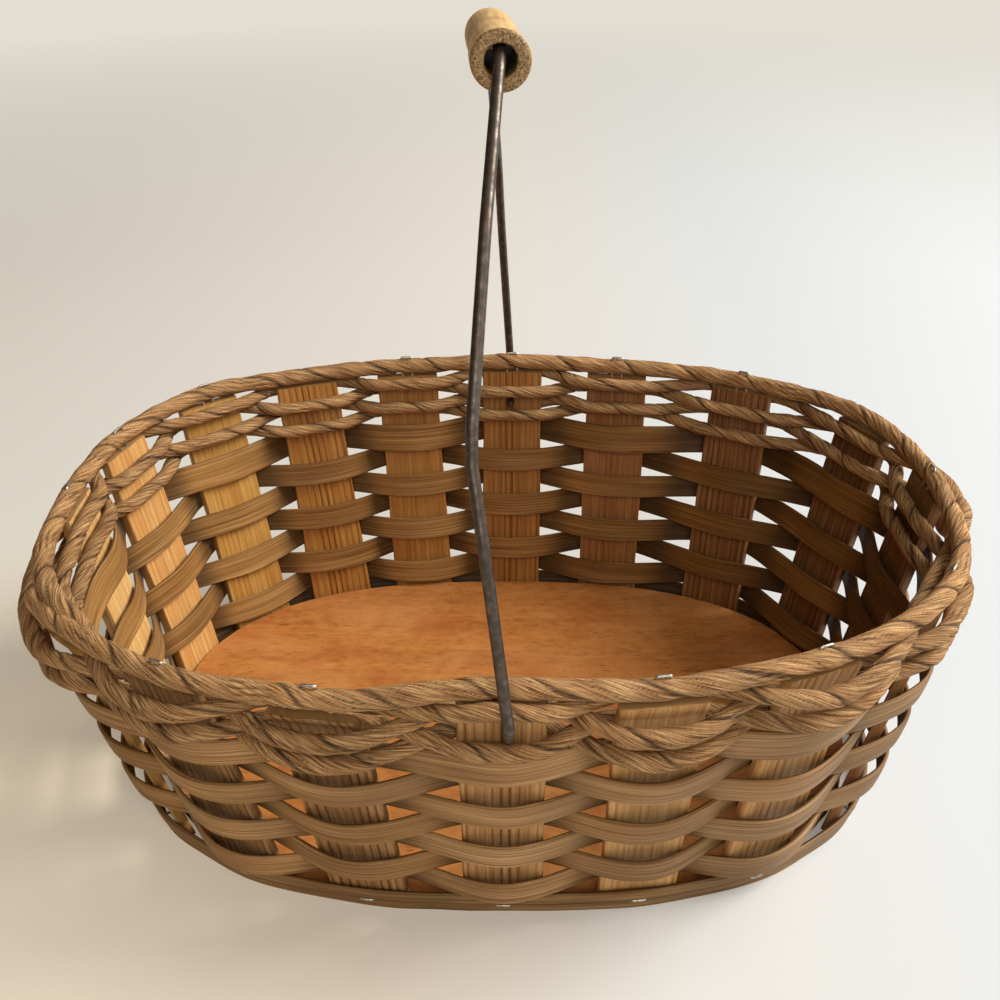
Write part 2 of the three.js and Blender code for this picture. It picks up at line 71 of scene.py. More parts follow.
# Staples, bail and grip
STAPLE_WIRE = 1.2 * mm
STAPLE_CROWN = 6.5 * mm
WIRE_DIAMETER = 4.2 * mm
PIVOT_SIDE = 2.5 * mm
BAIL_REACH = 207.3 * mm
HOOK_RUN = 4 * mm
TIP_LENGTH = 6 * mm
GRIP_LENGTH = 110.5 * mm
GRIP_DIAMETER = 20.8 * mm
GRIP_WAIST_DIAMETER = 19.4 * mm
GRIP_BORE_DIAMETER = 11.2 * mm
GRIP_DROP = 9.2 * mm
GRIP_SKEW = 5.5 * mm
GRIP_SHIFT = 5.5 * mm

# Each stake: the place of its foot round the oval, how far its top has moved on, its lean out of the oval,
# the side of it that the odd rows pass, the rise of the rim there, the slack of the ropes outside it, the
# depth of its reeding and the colour of its wood
OUTSIDE, INSIDE = 1, -1
STAKES = {
    "right_end": (0.0094, 0, 0.015, OUTSIDE, 0.004, 1.25, 0.5, "#724a18"),
    "back_right_3": (0.0655, -0.0005, 0.0075, INSIDE, 0.006, 0.3, 0.6, "#6b3f10"),
    "back_right_2": (0.1241, 0.0084, 0, OUTSIDE, -0.012, 0.3, 0.8, "#774710"),
    "back_right_1": (0.1882, 0.0066, 0, INSIDE, -0.012, 0.2, 0.3, "#8a5313"),
    "back_centre": (0.2469, 0, 0, OUTSIDE, 0, 0.15, 0.8, "#9f6917"),
    "back_left_1": (0.3005, -0.001, 0, INSIDE, -0.012, 0.2, 0.1, "#a87321"),
    "back_left_2": (0.3512, -0.0014, 0, OUTSIDE, -0.014, 0.3, 0.9, "#b07b28"),
    "back_left_3": (0.402, -0.0019, 0.0075, INSIDE, 0, 0.3, 0.1, "#c19846"),
    "back_left_4": (0.4532, 0.001, 0.0075, OUTSIDE, -0.004, 0.4, 0.35, "#dfb46f"),
    "left_end_back": (0.5031, 0, 0.019, INSIDE, -0.012, 1, 0.05, "#ebcb88"),
    "left_end_front": (0.575, 0, 0.053, INSIDE, -0.042, 0.8, 0.4, "#b38e47"),
    "front_left_2": (0.6335, 0.002, 0.034, OUTSIDE, -0.05, 0.7, 0.9, "#8a6840"),
    "front_left_1": (0.6908, -0.0022, 0.015, INSIDE, -0.045, 0.5, 1.0, "#a38055"),
    "front_centre": (0.75, 0, 0, OUTSIDE, 0, 0.3, 1.0, "#bc9461"),
    "front_right_1": (0.8095, -0.008, 0, INSIDE, -0.012, 0.6, 0.35, "#c49e67"),
    "front_right_2": (0.864, -0.0065, 0, OUTSIDE, 0.004, 0.7, 0.7, "#bd9761"),
    "front_right_3": (0.9313, 0, 0.0075, INSIDE, 0.008, 0.1, 0.6, "#8d6a42"),
}
NAMES = list(STAKES)
COLUMNS = list(zip(*STAKES.values()))
PLACE, FAN, LEAN, ODD_SIDE, LIFT, SLACK, REEDING = map(np.array, COLUMNS[:7])
COLOUR = COLUMNS[7]
BACK_PIVOT = NAMES.index("back_centre")
FRONT_PIVOT = NAMES.index("front_centre")

# Heights of the stacked rows
SPLINT_PITCH = SPLINT_WIDTH + CLEARANCE
SPLINT_FOOT = HOOP_HEIGHT + CLEARANCE
TOP_SPLINT_FOOT = SPLINT_FOOT + (SPLINT_ROWS - 1) * SPLINT_PITCH
ROPE_PITCH = ROPE_HEIGHT + CLEARANCE
ROPE_FOOT = TOP_SPLINT_FOOT + TOP_SPLINT_WIDTH + CLEARANCE
RIM_FOOT = ROPE_FOOT + ROPE_ROWS * ROPE_PITCH
RIM_HEIGHT = RIM_FOOT + RIM_ROPE_DIAMETER / 2
STAKE_TOP = RIM_FOOT - CLEARANCE
PIVOT_ROW = SPLINT_ROWS + 2
TOP_ROW = SPLINT_ROWS + ROPE_ROWS
PIVOT_HEIGHT = ROPE_FOOT + (PIVOT_ROW - SPLINT_ROWS - 0.5) * ROPE_PITCH - CLEARANCE / 2

# Tops that splay outwards, by how many millimetres, and torn tops, by how much rougher than a sawn one
SPLAY = {
    "left_end_front": 3, "front_left_1": 4, "front_right_1": 3, "front_right_2": 1.2,
}
SPLINTERED = {"front_left_1": 5, "left_end_front": 4, "front_right_2": 2}
SPLAY_HEIGHT = 12 * mm

# How the slats are milled, the splints riven and the ropes laid
SLAT_CORNER = 0.9 * mm
REED_PITCH = 3.4 * mm
REED_DEPTH = 0.6 * mm
SPLINT_BODY = 1.9 * mm
SPLINT_CUP = 0.25 * mm
HOOP_SEAM = 0.5 * mm
ROPE_LAY = math.radians(22)

# The rim rope's two ends pass each other at the left end: where it starts, how far it runs on past that
RIM_START = 0.565
RIM_OVERLAP = 36 * mm

# Old wood is greyer outside; inside, the splints carry painted light at the left end and painted shade, a
# brown tint, at the right end
OUTER_TINT = np.array([1.16, 1.24, 1.36])
PAINTED_LIGHT_TINT = np.array([0.92, 0.86, 0.68])
SHADED_TINT = np.array([0.62, 0.5, 0.28])
SPLINT_TONES = ["#a4845b", "#9a794f", "#a6875e", "#97764b", "#a28156", "#9a7a51", "#a07f54"]
HOOP_TONE = "#8c6f48"
ROPE_TONE = "#c99e65"
RIM_TONE = "#dfb277"
WALL_COLOUR = "#e3ded2"

# How finely the pieces are drawn, and how near counts as at the same place
SLAT_LEVELS = 72
FACE_POINTS = 97
SPLINT_STEPS = 720
ROPE_STEPS = 1500
ROPE_SIDES = 40
GRIP_SIDES = 72
NEAR = 0.01 * mm


# The oval wall

def oval_table(half_length, half_width):
    """A superellipse, |x/a|^p + |y/b|^p = 1, walked anticlockwise from +X, with the way walked so far."""
    turn = np.linspace(0, 2 * np.pi, 1441)
    x = half_length * np.sign(np.cos(turn)) * np.abs(np.cos(turn)) ** (2 / OVAL_POWER)
    y = half_width * np.sign(np.sin(turn)) * np.abs(np.sin(turn)) ** (2 / OVAL_POWER)
    so_far = np.concatenate([[0], np.cumsum(np.hypot(np.diff(x), np.diff(y)))])
    return x, y, so_far


FOOT_OVAL = oval_table(FOOT_HALF_LENGTH, FOOT_HALF_WIDTH)
RIM_OVAL = oval_table(RIM_HALF_LENGTH, RIM_HALF_WIDTH)


def oval_point(table, share):
    """The point of an oval at each share of the way round."""
    x, y, so_far = table
    way = np.mod(share, 1) * so_far[-1]
    return np.stack([np.interp(way, so_far, x), np.interp(way, so_far, y)], -1)


def wall_point(share, z):
    """A point of the leaning wall's middle: the foot oval's, moved towards the rim oval's by height."""
    rise = np.asarray(z / RIM_HEIGHT)[..., None]
    return oval_point(FOOT_OVAL, share) * (1 - rise) + oval_point(RIM_OVAL, share) * rise


def wall_normal(share):
    """The outward level normal of the wall, square to the chord between two near places at half height."""
    span = 8 / 1440
    chord = wall_point(share + span, STAKE_TOP / 2) - wall_point(share - span, STAKE_TOP / 2)
    normal = np.stack([chord[..., 1], -chord[..., 0]], -1)
    return normal / np.linalg.norm(normal, axis=-1, keepdims=True)


def lifted(z, lift):
    """The rim's rise or fall: a nominal height changes with the square of its share of the whole."""
    return z * (1 + lift * z / RIM_HEIGHT)


def place_at(k, z):
    """A stake's place round the oval, which moves on from its foot to its top."""
    return PLACE[k] + FAN[k] * z / RIM_HEIGHT


NORMAL = wall_normal(PLACE + FAN / 2)
ALONG = np.stack([-NORMAL[:, 1], NORMAL[:, 0]], -1)


def stake_point(k, along, out, z):
    """A point in stake k's own frame: along its width, out from its middle, at a nominal height."""
    along, out, z = np.broadcast_arrays(along, out, z)
    out = out + LEAN[k] * z
    flat = wall_point(place_at(k, z), z)
    flat = flat + along[..., None] * ALONG[k] + out[..., None] * NORMAL[k]
    return np.concatenate([flat, lifted(z, LIFT[k])[..., None]], -1)


# Rows that pass every stake and every gap

HALF_SPAN = (STAKE_WIDTH + SPLINT_THICKNESS) / 2
HALF_SPAN_SHARE = HALF_SPAN / RIM_OVAL[2][-1]


def ring_stations(along_shares, gap_shares):
    """Stations of a ring: the stake they follow, the sideways step from its middle, how far they have
    crossed the gap and changed over to the next stake, and how near the crown of a stake they are."""
    rows = [(k, a * HALF_SPAN, 0.0, 1 - a * a) for k in range(len(NAMES)) for a in along_shares]
    rows += [(k, 0.0, g, 0.0) for k in range(len(NAMES)) for g in gap_shares]
    rows.sort(key=lambda row: (row[0], row[2], row[1]))
    stake, step, gap, crown = np.array(rows).T
    stake = stake.astype(int)
    after = (stake + 1) % len(NAMES)
    stations = {"stake": stake, "after": after, "step": step, "gap": gap, "crown": crown}
    stations["blend"] = (1 - np.cos(gap * np.pi)) / 2
    stations["lift"] = LIFT[stake] + (LIFT[after] - LIFT[stake]) * gap
    stations["lean"] = LEAN[stake] + (LEAN[after] - LEAN[stake]) * gap
    middle = wall_normal(station_share(stations, RIM_HEIGHT / 2))
    stations["normal"] = np.where(gap[:, None] > 0, middle, NORMAL[stake])
    return stations


def station_share(stations, z):
    """Each station's place round the oval at a height: its stake's, or a share of the gap after it."""
    here, there = place_at(stations["stake"], z), place_at(stations["after"], z)
    start = here + HALF_SPAN_SHARE
    end = there + (there < here) - HALF_SPAN_SHARE
    return np.where(stations["gap"] > 0, start + (end - start) * stations["gap"], here)


# Stations for the splints, for the woven ropes, and for the hoop and the rim rope
FLAT = ring_stations([-0.5, 0, 0.5], [0.5])
ROUND = ring_stations([-0.8, 0, 0.8], [0.5])
PLAIN = ring_stations([-0.7, 0.7], [0.5])


def station_points(stations, out, z):
    """The station's place on the wall, stepped sideways along it and out from it, at a nominal height."""
    z = np.broadcast_to(z, out.shape)
    normal = stations["normal"]
    sideways = np.stack([-normal[:, 1], normal[:, 0]], -1)
    out = out + stations["lean"] * z
    flat = wall_point(station_share(stations, z), z)
    flat = flat + stations["step"][:, None] * sideways + out[:, None] * normal
    return np.concatenate([flat, lifted(z, stations["lift"])[:, None]], -1)


def blended(stations, values):
    """A value that each stake sets, changed over smoothly between one and the next."""
    here, there = values[stations["stake"]], values[stations["after"]]
    return here + (there - here) * stations["blend"]


def row_side(row):
    """Which side of each stake a row passes: the odd rows as the stakes say, the even rows the other way."""
    return ODD_SIDE if row % 2 else -ODD_SIDE


def closed_spline(values, chords, count):
    """A periodic cubic spline with continuous curvature through the values, on the given chord lengths,
    read at evenly spaced places. Its second derivatives solve the usual three-term ring of equations."""
    n = len(values)
    k = np.arange(n)
    before = np.roll(chords, 1)
    rings = np.zeros((n, n))
    rings[k, (k - 1) % n] += before
    rings[k, k] += 2 * (before + chords)
    rings[k, (k + 1) % n] += chords
    slope = (np.roll(values, -1, 0) - values) / chords[:, None]
    bend = np.linalg.solve(rings, 6 * (slope - np.roll(slope, 1, 0)))
    ends = np.concatenate([[0], np.cumsum(chords)])
    way = np.arange(count) / count * ends[-1]
    i = np.clip(np.searchsorted(ends, way, side="right") - 1, 0, n - 1)
    j = (i + 1) % n
    a = ((ends[i + 1] - way) / chords[i])[:, None]
    b = 1 - a
    curve = a * values[i] + b * values[j]
    curve = curve + ((a**3 - a) * bend[i] + (b**3 - b) * bend[j]) * (chords[i] ** 2 / 6)[:, None]
    return curve, way, ends[-1]


def chord_lengths(points):
    """How far it is from each point of a ring to the next."""
    return np.linalg.norm(np.roll(points, -1, 0) - points, axis=1)


def ripple(way, length, waves, seed):
    """Smooth periodic noise of about unit size: a sum of sines with whole numbers of waves round a ring."""
    random = np.random.default_rng(seed)
    total = np.zeros(np.shape(way))
    for count in waves:
        total = total + np.sin(2 * np.pi * (count * way / length + random.random()))
    return total / math.sqrt(len(waves))


# Meshes from grids of points

UP = np.array([0.0, 0.0, 1.0])


def unit(v):
    """Each vector, scaled to a length of 1."""
    return v / np.maximum(np.linalg.norm(v, axis=-1, keepdims=True), 1e-12)


def walked(points):
    """The way walked along a line of points, from 0 at its first."""
    return np.concatenate([[0], np.cumsum(np.linalg.norm(np.diff(points, axis=0), axis=1))])


def eased(part):
    """0 below 0 and 1 above 1, with a smooth change between: 3 part^2 - 2 part^3."""
    part = np.clip(part, 0, 1)
    return part * part * (3 - 2 * part)


def grid_mesh(name, points, uv, wrap=(True, True), capped=False, attributes=None):
    """Quads over an (n, m) grid of points; a wrapped direction joins its last line to its first, and caps
    close the first and last lines. uv has one more line than the grid in each wrapped direction."""
    n, m = points.shape[:2]
    i, j = np.meshgrid(np.arange(n if wrap[0] else n - 1), np.arange(m if wrap[1] else m - 1), indexing="ij")
    i, j = i.ravel(), j.ravel()
    corners = [(i, j), (i + 1, j), (i + 1, j + 1), (i, j + 1)]
    quads = np.stack([(a % n) * m + b % m for a, b in corners], -1)
    quad_uv = np.stack([uv[a, b] for a, b in corners], 1).reshape(-1, 2)
    loops = [quads.ravel()]
    starts = [np.arange(len(quads)) * 4]
    uvs = [quad_uv]
    if capped:
        for first, line in ((0, np.arange(m)), ((n - 1) * m, np.arange(m)[::-1])):
            starts.append([sum(len(x) for x in loops)])
            loops.append(first + line)
            uvs.append(np.zeros((m, 2)))
    loops = np.concatenate(loops)
    starts = np.concatenate(starts)
    mesh = bpy.data.meshes.new(name)
    mesh.vertices.add(n * m)
    mesh.vertices.foreach_set("co", points.reshape(-1).astype(np.float32))
    mesh.loops.add(len(loops))
    mesh.loops.foreach_set("vertex_index", loops.astype(np.int32))
    mesh.polygons.add(len(starts))
    mesh.polygons.foreach_set("loop_start", starts.astype(np.int32))
    mesh.update(calc_edges=True)
    layer = mesh.uv_layers.new(name="surface")
    layer.data.foreach_set("uv", np.concatenate(uvs).reshape(-1).astype(np.float32))
    for key, values in (attributes or {}).items():
        kind, field = ("FLOAT_COLOR", "color") if values.shape[-1:] == (4,) else ("FLOAT", "value")
        attribute = mesh.attributes.new(key, kind, "POINT")
        attribute.data.foreach_set(field, values.reshape(-1).astype(np.float32))
    mesh.shade_smooth()
    mesh.set_sharp_from_angle(angle=math.radians(50))
    return mesh


def placed(name, data):
    """A new object in the scene."""
    made = bpy.data.objects.new(name, data)
    bpy.context.scene.collection.objects.link(made)
    return made


def merged_mesh(name, meshes):
    """One mesh from several, for pieces that go together."""
    objects = [placed(name, mesh) for mesh in meshes]
    with bpy.context.temp_override(active_object=objects[0], selected_editable_objects=objects):
        bpy.ops.object.join()
    mesh = objects[0].data
    bpy.data.objects.remove(objects[0])
    return mesh


def add_piece(name, mesh, body, slot, material, *nodes):
    """A finished piece on its body, with its material, in place of its nodes of the part; its slot is not
    used.
    """
    piece = placed(name, mesh)
    mesh.materials.clear()
    mesh.materials.append(material)
    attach(piece, body)
    if nodes:
        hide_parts(*nodes)


# Colours and nodes

def linear(hex_colour):
    """An sRGB hex colour as linear red, green, blue and an alpha of 1."""
    values = [int(hex_colour[k:k + 2], 16) / 255 for k in (1, 3, 5)]
    return tuple(v / 12.92 if v <= 0.04045 else ((v + 0.055) / 1.055) ** 2.4 for v in values) + (1.0,)


def add_node(tree, kind, inputs=None, stops=(), **settings):
    """Adds a node with its settings and a colour ramp's (place, hex colour) stops, and gives its outputs.
    Each input that is named gets a link from a socket, a hex colour or another value."""
    node = tree.nodes.new("ShaderNode" + kind)
    for key, value in settings.items():
        setattr(node, key, value)
    for key, value in (inputs or {}).items():
        if isinstance(value, bpy.types.NodeSocket):
            tree.links.new(value, node.inputs[key])
        else:
            node.inputs[key].default_value = linear(value) if isinstance(value, str) else value
    while stops and len(node.color_ramp.elements) < len(stops):
        node.color_ramp.elements.new(0.5)
    for number, (place, colour) in enumerate(stops):
        node.color_ramp.elements[number].position = place
        node.color_ramp.elements[number].color = linear(colour)
    return node.outputs


def noises(tree, coordinates, *kinds, roughness=0.55):
    """A noise for each (along, across, detail) or (along, across, through, detail): about how long its
    features are along the axes of the coordinates, in millimetres, and how fine it goes."""
    made = []
    for *sizes, detail in kinds:
        scale = [1 / (size * mm) for size in (*sizes, sizes[1])[:3]]
        stretched = add_node(tree, "Mapping", {"Vector": coordinates, "Scale": scale})[0]
        inputs = {"Vector": stretched, "Scale": 1.0, "Detail": detail, "Roughness": roughness}
        made.append(add_node(tree, "TexNoise", inputs)["Fac"])
    return made


def toned(tree, ground, *tones):
    """One colour for each tone: the ground's red, green and blue, each multiplied by the tone's."""
    inputs = [{0: 1.0, 6: ground, 7: tone} for tone in tones]
    return [add_node(tree, "Mix", each, data_type="RGBA", blend_type="MULTIPLY")[2] for each in inputs]


def stained(tree, colour, *stains):
    """A colour under stains of (pattern, colour, low, high, amount), each laid on where its pattern goes
    from low to high, up to its amount."""
    for pattern, stain, low, high, amount in stains:
        limits = {"Value": pattern, "From Min": low, "From Max": high, "To Max": amount}
        cover = add_node(tree, "MapRange", limits)[0]
        colour = add_node(tree, "Mix", {0: cover, 6: colour, 7: stain}, data_type="RGBA")[2]
    return colour


def bumps(tree, *heights):
    """The normal after bumps of (height socket, depth in metres, strength), each on top of the last."""
    inputs = {}
    for height, depth, strength in heights:
        inputs.update({"Height": height, "Distance": depth, "Strength": strength})
        inputs["Normal"] = add_node(tree, "Bump", inputs)[0]
    return inputs["Normal"]


def made_material(finish, shader="BsdfPrincipled"):
    """A material named for its finish, a function that adds the finish's nodes and gives the inputs of the
    surface's shader."""
    material = bpy.data.materials.new(finish.__name__)
    material.use_nodes = True
    tree = material.node_tree
    tree.nodes.clear()
    add_node(tree, "OutputMaterial", {"Surface": add_node(tree, shader, finish(tree))[0]})
    return material


# Finishes

def reeded_slat_wood(tree):
    """Milled softwood slat under an old amber varnish: straight grain up the slat, painted shade in the
    reeds, pale where the top is sawn across."""
    uv = add_node(tree, "UVMap", uv_map="surface")[0]
    ground = add_node(tree, "Attribute", attribute_name="ground")["Color"]
    hollow_and_shade = add_node(tree, "Attribute", attribute_name="hollow_and_shade")["Fac"]
    up = add_node(tree, "SeparateXYZ", {0: add_node(tree, "NewGeometry")["Normal"]})[2]
    grain, pores, blotch = noises(tree, uv, (60, 1.4, 6), (9, 0.35, 3), (30, 14, 2))
    base, warm, dark, deep = toned(tree, ground, "#d3b190", "#d6a878", "#9a6c48", "#a57e57")
    light = stained(tree, ground, (0.22, "#dcb478", 0, 1, 1))
    sawn = add_node(tree, "ValToRGB", {"Fac": pores}, [(0.4, "#6b4a26"), (0.6, "#b08a56")])[0]
    # The reeds' hollows get painted shade from the attribute.
    colour = stained(
        tree, base, (grain, light, 0.3, 0.7, 1), (blotch, warm, 0.35, 0.7, 0.35),
        (pores, dark, 0.56, 0.72, 0.4), (hollow_and_shade, deep, 0, 1, 1), (up, sawn, 0.75, 0.9, 0.8),
    )
    normal = bumps(tree, (grain, 0.5 * mm, 0.35), (pores, 0.2 * mm, 0.5))
    return {"Base Color": colour, "Roughness": 0.55, "Specular IOR Level": 0.35, "Normal": normal}


def riven_splint_wood(tree):
    """Riven oak splint, aged to a grey brown: smooth, with fine lengthwise fibres, a few dark splits and a
    dull sheen."""
    uv = add_node(tree, "UVMap", uv_map="surface")[0]
    ground = add_node(tree, "Attribute", attribute_name="ground")["Color"]
    fibre, streak, blotch, split = noises(tree, uv, (70, 0.8, 6), (120, 3.2, 3), (35, 22, 2), (55, 0.55, 2))
    pale = (1.38, 1.36, 1.34, 1.0)
    base, light, warm, grey = toned(tree, ground, "#c0a888", pale, "#b59674", "#d2bea6")
    colour = stained(
        tree, base, (fibre, light, 0.36, 0.64, 1), (streak, warm, 0.45, 0.7, 0.5),
        (blotch, grey, 0.35, 0.7, 0.35), (split, "#3f2b19", 0.67, 0.73, 0.6),
    )
    normal = bumps(tree, (fibre, 0.3 * mm, 0.3), (streak, 0.4 * mm, 0.2))
    return {"Base Color": colour, "Roughness": 0.55, "Specular IOR Level": 0.28, "Normal": normal}


def twisted_rush(tree):
    """Fibre rush, long leaf and paper fibres twisted into a rope: matt, with painted shade in its creases
    and fine fibres that run with the lay and catch the light."""
    uv = add_node(tree, "UVMap", uv_map="surface")[0]
    ground = add_node(tree, "Attribute", attribute_name="ground")["Color"]
    hollow_and_shade = add_node(tree, "Attribute", attribute_name="hollow_and_shade")["Fac"]
    fibre, strand, blotch = noises(tree, uv, (14, 0.45, 5), (30, 1.6, 3), (28, 16, 2))
    base, brown = toned(tree, ground, "#7c5836", "#b08556")
    light = stained(tree, ground, (0.5, "#e6bd86", 0, 1, 1))
    colour = stained(
        tree, base, (fibre, light, 0.36, 0.62, 1), (strand, brown, 0.4, 0.7, 0.5),
        (blotch, "#6d4a28", 0.4, 0.7, 0.35), (hollow_and_shade, "#301c0d", 0, 1, 1),
    )
    normal = bumps(tree, (fibre, 0.5 * mm, 0.75), (strand, 0.6 * mm, 0.35))
    return {"Base Color": colour, "Roughness": 0.75, "Specular IOR Level": 0.25, "Normal": normal}


def varnished_board_wood(tree):
    """Pine board under a worn orange varnish: grain along the basket, dark specks and a soft gloss."""
    place = add_node(tree, "TexCoord")["Object"]
    grain, fine, blotch = noises(tree, place, (120, 5, 20, 6), (22, 0.7, 10, 4), (60, 30, 30, 3))
    speck, patchy = noises(tree, place, (9, 2.2, 9, 2), (34, 26, 30, 4))
    [scuff] = noises(tree, place, (7, 3.5, 7, 5), roughness=0.7)
    stops = [(0.3, "#9e5f28"), (0.5, "#ad6a2e"), (0.7, "#bd7937")]
    # Dark grain, rubbed spots, smudges, worn varnish, specks and redder stains
    colour = stained(
        tree, add_node(tree, "ValToRGB", {"Fac": grain}, stops)[0],
        (fine, "#8a4d22", 0.5, 0.75, 0.22), (scuff, "#c98847", 0.42, 0.62, 0.4),
        (scuff, "#84471c", 0.48, 0.34, 0.35), (blotch, "#cb8c50", 0.45, 0.7, 0.5),
        (speck, "#6e3a18", 0.66, 0.72, 0.6), (patchy, "#a85a26", 0.52, 0.68, 0.5),
    )
    worn = {"Value": blotch, "From Min": 0.3, "From Max": 0.7, "To Min": 0.55, "To Max": 0.7}
    roughness = add_node(tree, "MapRange", worn)[0]
    normal = bumps(tree, (grain, 0.4 * mm, 0.2), (fine, 0.15 * mm, 0.35))
    return {"Base Color": colour, "Roughness": roughness, "Specular IOR Level": 0.3, "Normal": normal}


def darkened_steel_wire(tree):
    """Drawn steel wire, darkened and worn by hands: grey brown with paler rubbed spots and faint rust."""
    place = add_node(tree, "TexCoord")["Object"]
    spots, patches = noises(tree, place, (3, 3, 5), (16, 16, 3))
    stops = [(0.35, "#494038"), (0.5, "#554b42"), (0.68, "#6a6056")]
    steel = add_node(tree, "ValToRGB", {"Fac": spots}, stops)[0]
    colour = stained(tree, steel, (patches, "#5e4531", 0.5, 0.7, 0.25))
    rubbed = {"Value": spots, "From Min": 0.3, "From Max": 0.7, "To Min": 0.55, "To Max": 0.34}
    roughness = add_node(tree, "MapRange", rubbed)[0]
    normal = bumps(tree, (spots, 0.1 * mm, 0.25))
    return {"Base Color": colour, "Metallic": 0.8, "Roughness": roughness, "Normal": normal}


def bright_staple_steel(tree):
    """Galvanised staple wire: bright, a little dulled."""
    [spots] = noises(tree, add_node(tree, "TexCoord")["Object"], (1.5, 1.5, 3))
    colour = add_node(tree, "ValToRGB", {"Fac": spots}, [(0.3, "#8d867a"), (0.7, "#d9d4c8")])[0]
    return {"Base Color": colour, "Metallic": 0.9, "Roughness": 0.35}


def turned_grip_wood(tree):
    """Turned beech without varnish, rubbed smooth: pale tan with short flecks and a darker end grain."""
    uv = add_node(tree, "UVMap", uv_map="surface")[0]
    end = add_node(tree, "Attribute", attribute_name="end_grain")["Fac"]
    place = add_node(tree, "TexCoord")["Object"]
    grain, fleck = noises(tree, uv, (45, 2, 5), (4, 0.5, 2))
    pores, blotch = noises(tree, place, (0.7, 0.7, 2), (25, 25, 3))
    stops = [(0.35, "#4f3718"), (0.52, "#8a6a3e"), (0.7, "#b08e5a")]
    sawn = add_node(tree, "ValToRGB", {"Fac": pores}, stops)[0]
    stops = [(0.3, "#c99d63"), (0.5, "#e2bb7d"), (0.7, "#f3d49b")]
    colour = stained(
        tree, add_node(tree, "ValToRGB", {"Fac": grain}, stops)[0],
        (fleck, "#7d5429", 0.58, 0.72, 0.5), (blotch, "#8f6537", 0.4, 0.65, 0.45), (end, sawn, 0, 1, 1),
    )
    normal = bumps(tree, (grain, 0.3 * mm, 0.3), (fleck, 0.15 * mm, 0.4))
    return {"Base Color": colour, "Roughness": 0.5, "Normal": normal}


SLAT = made_material(reeded_slat_wood)
SPLINT = made_material(riven_splint_wood)
RUSH = made_material(twisted_rush)
BOARD = made_material(varnished_board_wood)
WIRE = made_material(darkened_steel_wire)
STAPLE = made_material(bright_staple_steel)
GRIP = made_material(turned_grip_wood)


def painted(colour, shape):
    """The same linear colour for every point of a grid, ready to vary."""
    return np.broadcast_to(np.array(linear(colour)), (*shape, 4)).copy()


# Stakes

def stake_mesh(k):
    """A slat: a rounded rectangle carried up the wall. Its two faces are reeded, pressed in between reeds by
    depth * (half a cosine wave)^4 across the width, and the reeds wander by sines; the hollows also carry
    painted shade. Its edges are a little ragged, its top is sawn unevenly or torn, and a splayed top eases
    outwards. The wood is greyer outside, and its side faces carry painted light: a painted highlight on the
    stakes on the right of the basket and painted shade on the others."""
    half, reach, radius = STAKE_WIDTH / 2, STAKE_THICKNESS / 2, SLAT_CORNER
    face = np.linspace(1, -1, FACE_POINTS) * (half - radius)
    level = np.full(FACE_POINTS, reach)
    turn = np.linspace(0, np.pi / 2, 6)[1:-1]
    corner = np.stack([half - radius + radius * np.sin(turn), reach - radius + radius * np.cos(turn)], -1)
    section = np.concatenate([
        np.stack([face, level], -1), corner * [-1, 1], corner[::-1] * [-1, -1],
        np.stack([-face, -level], -1), corner * [1, -1], corner[::-1],
    ])
    along, out = section[None, :, 0], section[None, :, 1]
    rise = np.linspace(0, 1, SLAT_LEVELS)[:, None]
    random = np.random.default_rng(100 + k)
    bow = np.sin(2 * np.pi * (rise * 0.6 + random.random()))
    across = along + 0.5 * mm * bow + 0.35 * mm * np.sin(along / (4.3 * mm) + 6 * random.random())
    # The hollows between the reeds, which the slat material also lays on as painted shade.
    hollow_and_shade = (0.5 + 0.5 * np.cos(2 * np.pi * across / REED_PITCH)) ** 4
    hollow_and_shade = hollow_and_shade * (0.65 + 0.35 * np.sin(across / (3.1 * mm) + 6 * random.random())) * REEDING[k]
    out = out - np.sign(out) * np.where(np.abs(out) > reach - NEAR, REED_DEPTH * hollow_and_shade, 0)
    ragged = 0.2 * mm * np.sin(rise * 9 + k) + 0.12 * mm * np.sin(rise * 31 + 2 * k)
    along = along + np.sign(along) * ragged * (np.abs(along) > half - 1.2 * radius)
    saw = 0.3 * mm * np.abs(np.sin(section[:, 0] / (5 * mm) + k)) + 0.25 * mm * random.random(len(section))
    saw = saw * SPLINTERED.get(NAMES[k], 1)
    z = CLEARANCE + rise * (STAKE_TOP - CLEARANCE) - np.where(rise > 0.999, saw, 0)
    splay = SPLAY.get(NAMES[k], 0) * mm * eased((z - STAKE_TOP) / SPLAY_HEIGHT + 1)
    points = stake_point(k, along, out + splay, z)
    girth = walked(section)
    girth = np.append(girth, girth[-1] + 1 * mm)
    uv = np.stack(np.broadcast_arrays(rise * STAKE_TOP + k * 0.31, girth + k * 0.17), -1)
    ground = painted(COLOUR[k], hollow_and_shade.shape)
    ground[:, section[:, 1] > reach - NEAR, :3] *= OUTER_TINT
    # Painted light on the side faces: a painted highlight on stakes on the right of the basket, painted
    # shade on the others.
    ground[:, np.abs(section[:, 0]) > half - 0.6 * mm, :3] *= 1.3 if "right" in NAMES[k] else 0.75
    carried = {"ground": ground, "hollow_and_shade": hollow_and_shade}
    return grid_mesh("stake_" + NAMES[k], points, uv, (False, True), True, carried)


for number, stake_name in enumerate(NAMES):
    add_piece("slat_" + stake_name, stake_mesh(number), "basket", "stake", SLAT, "stake_" + stake_name)


# Splint rows and hoop

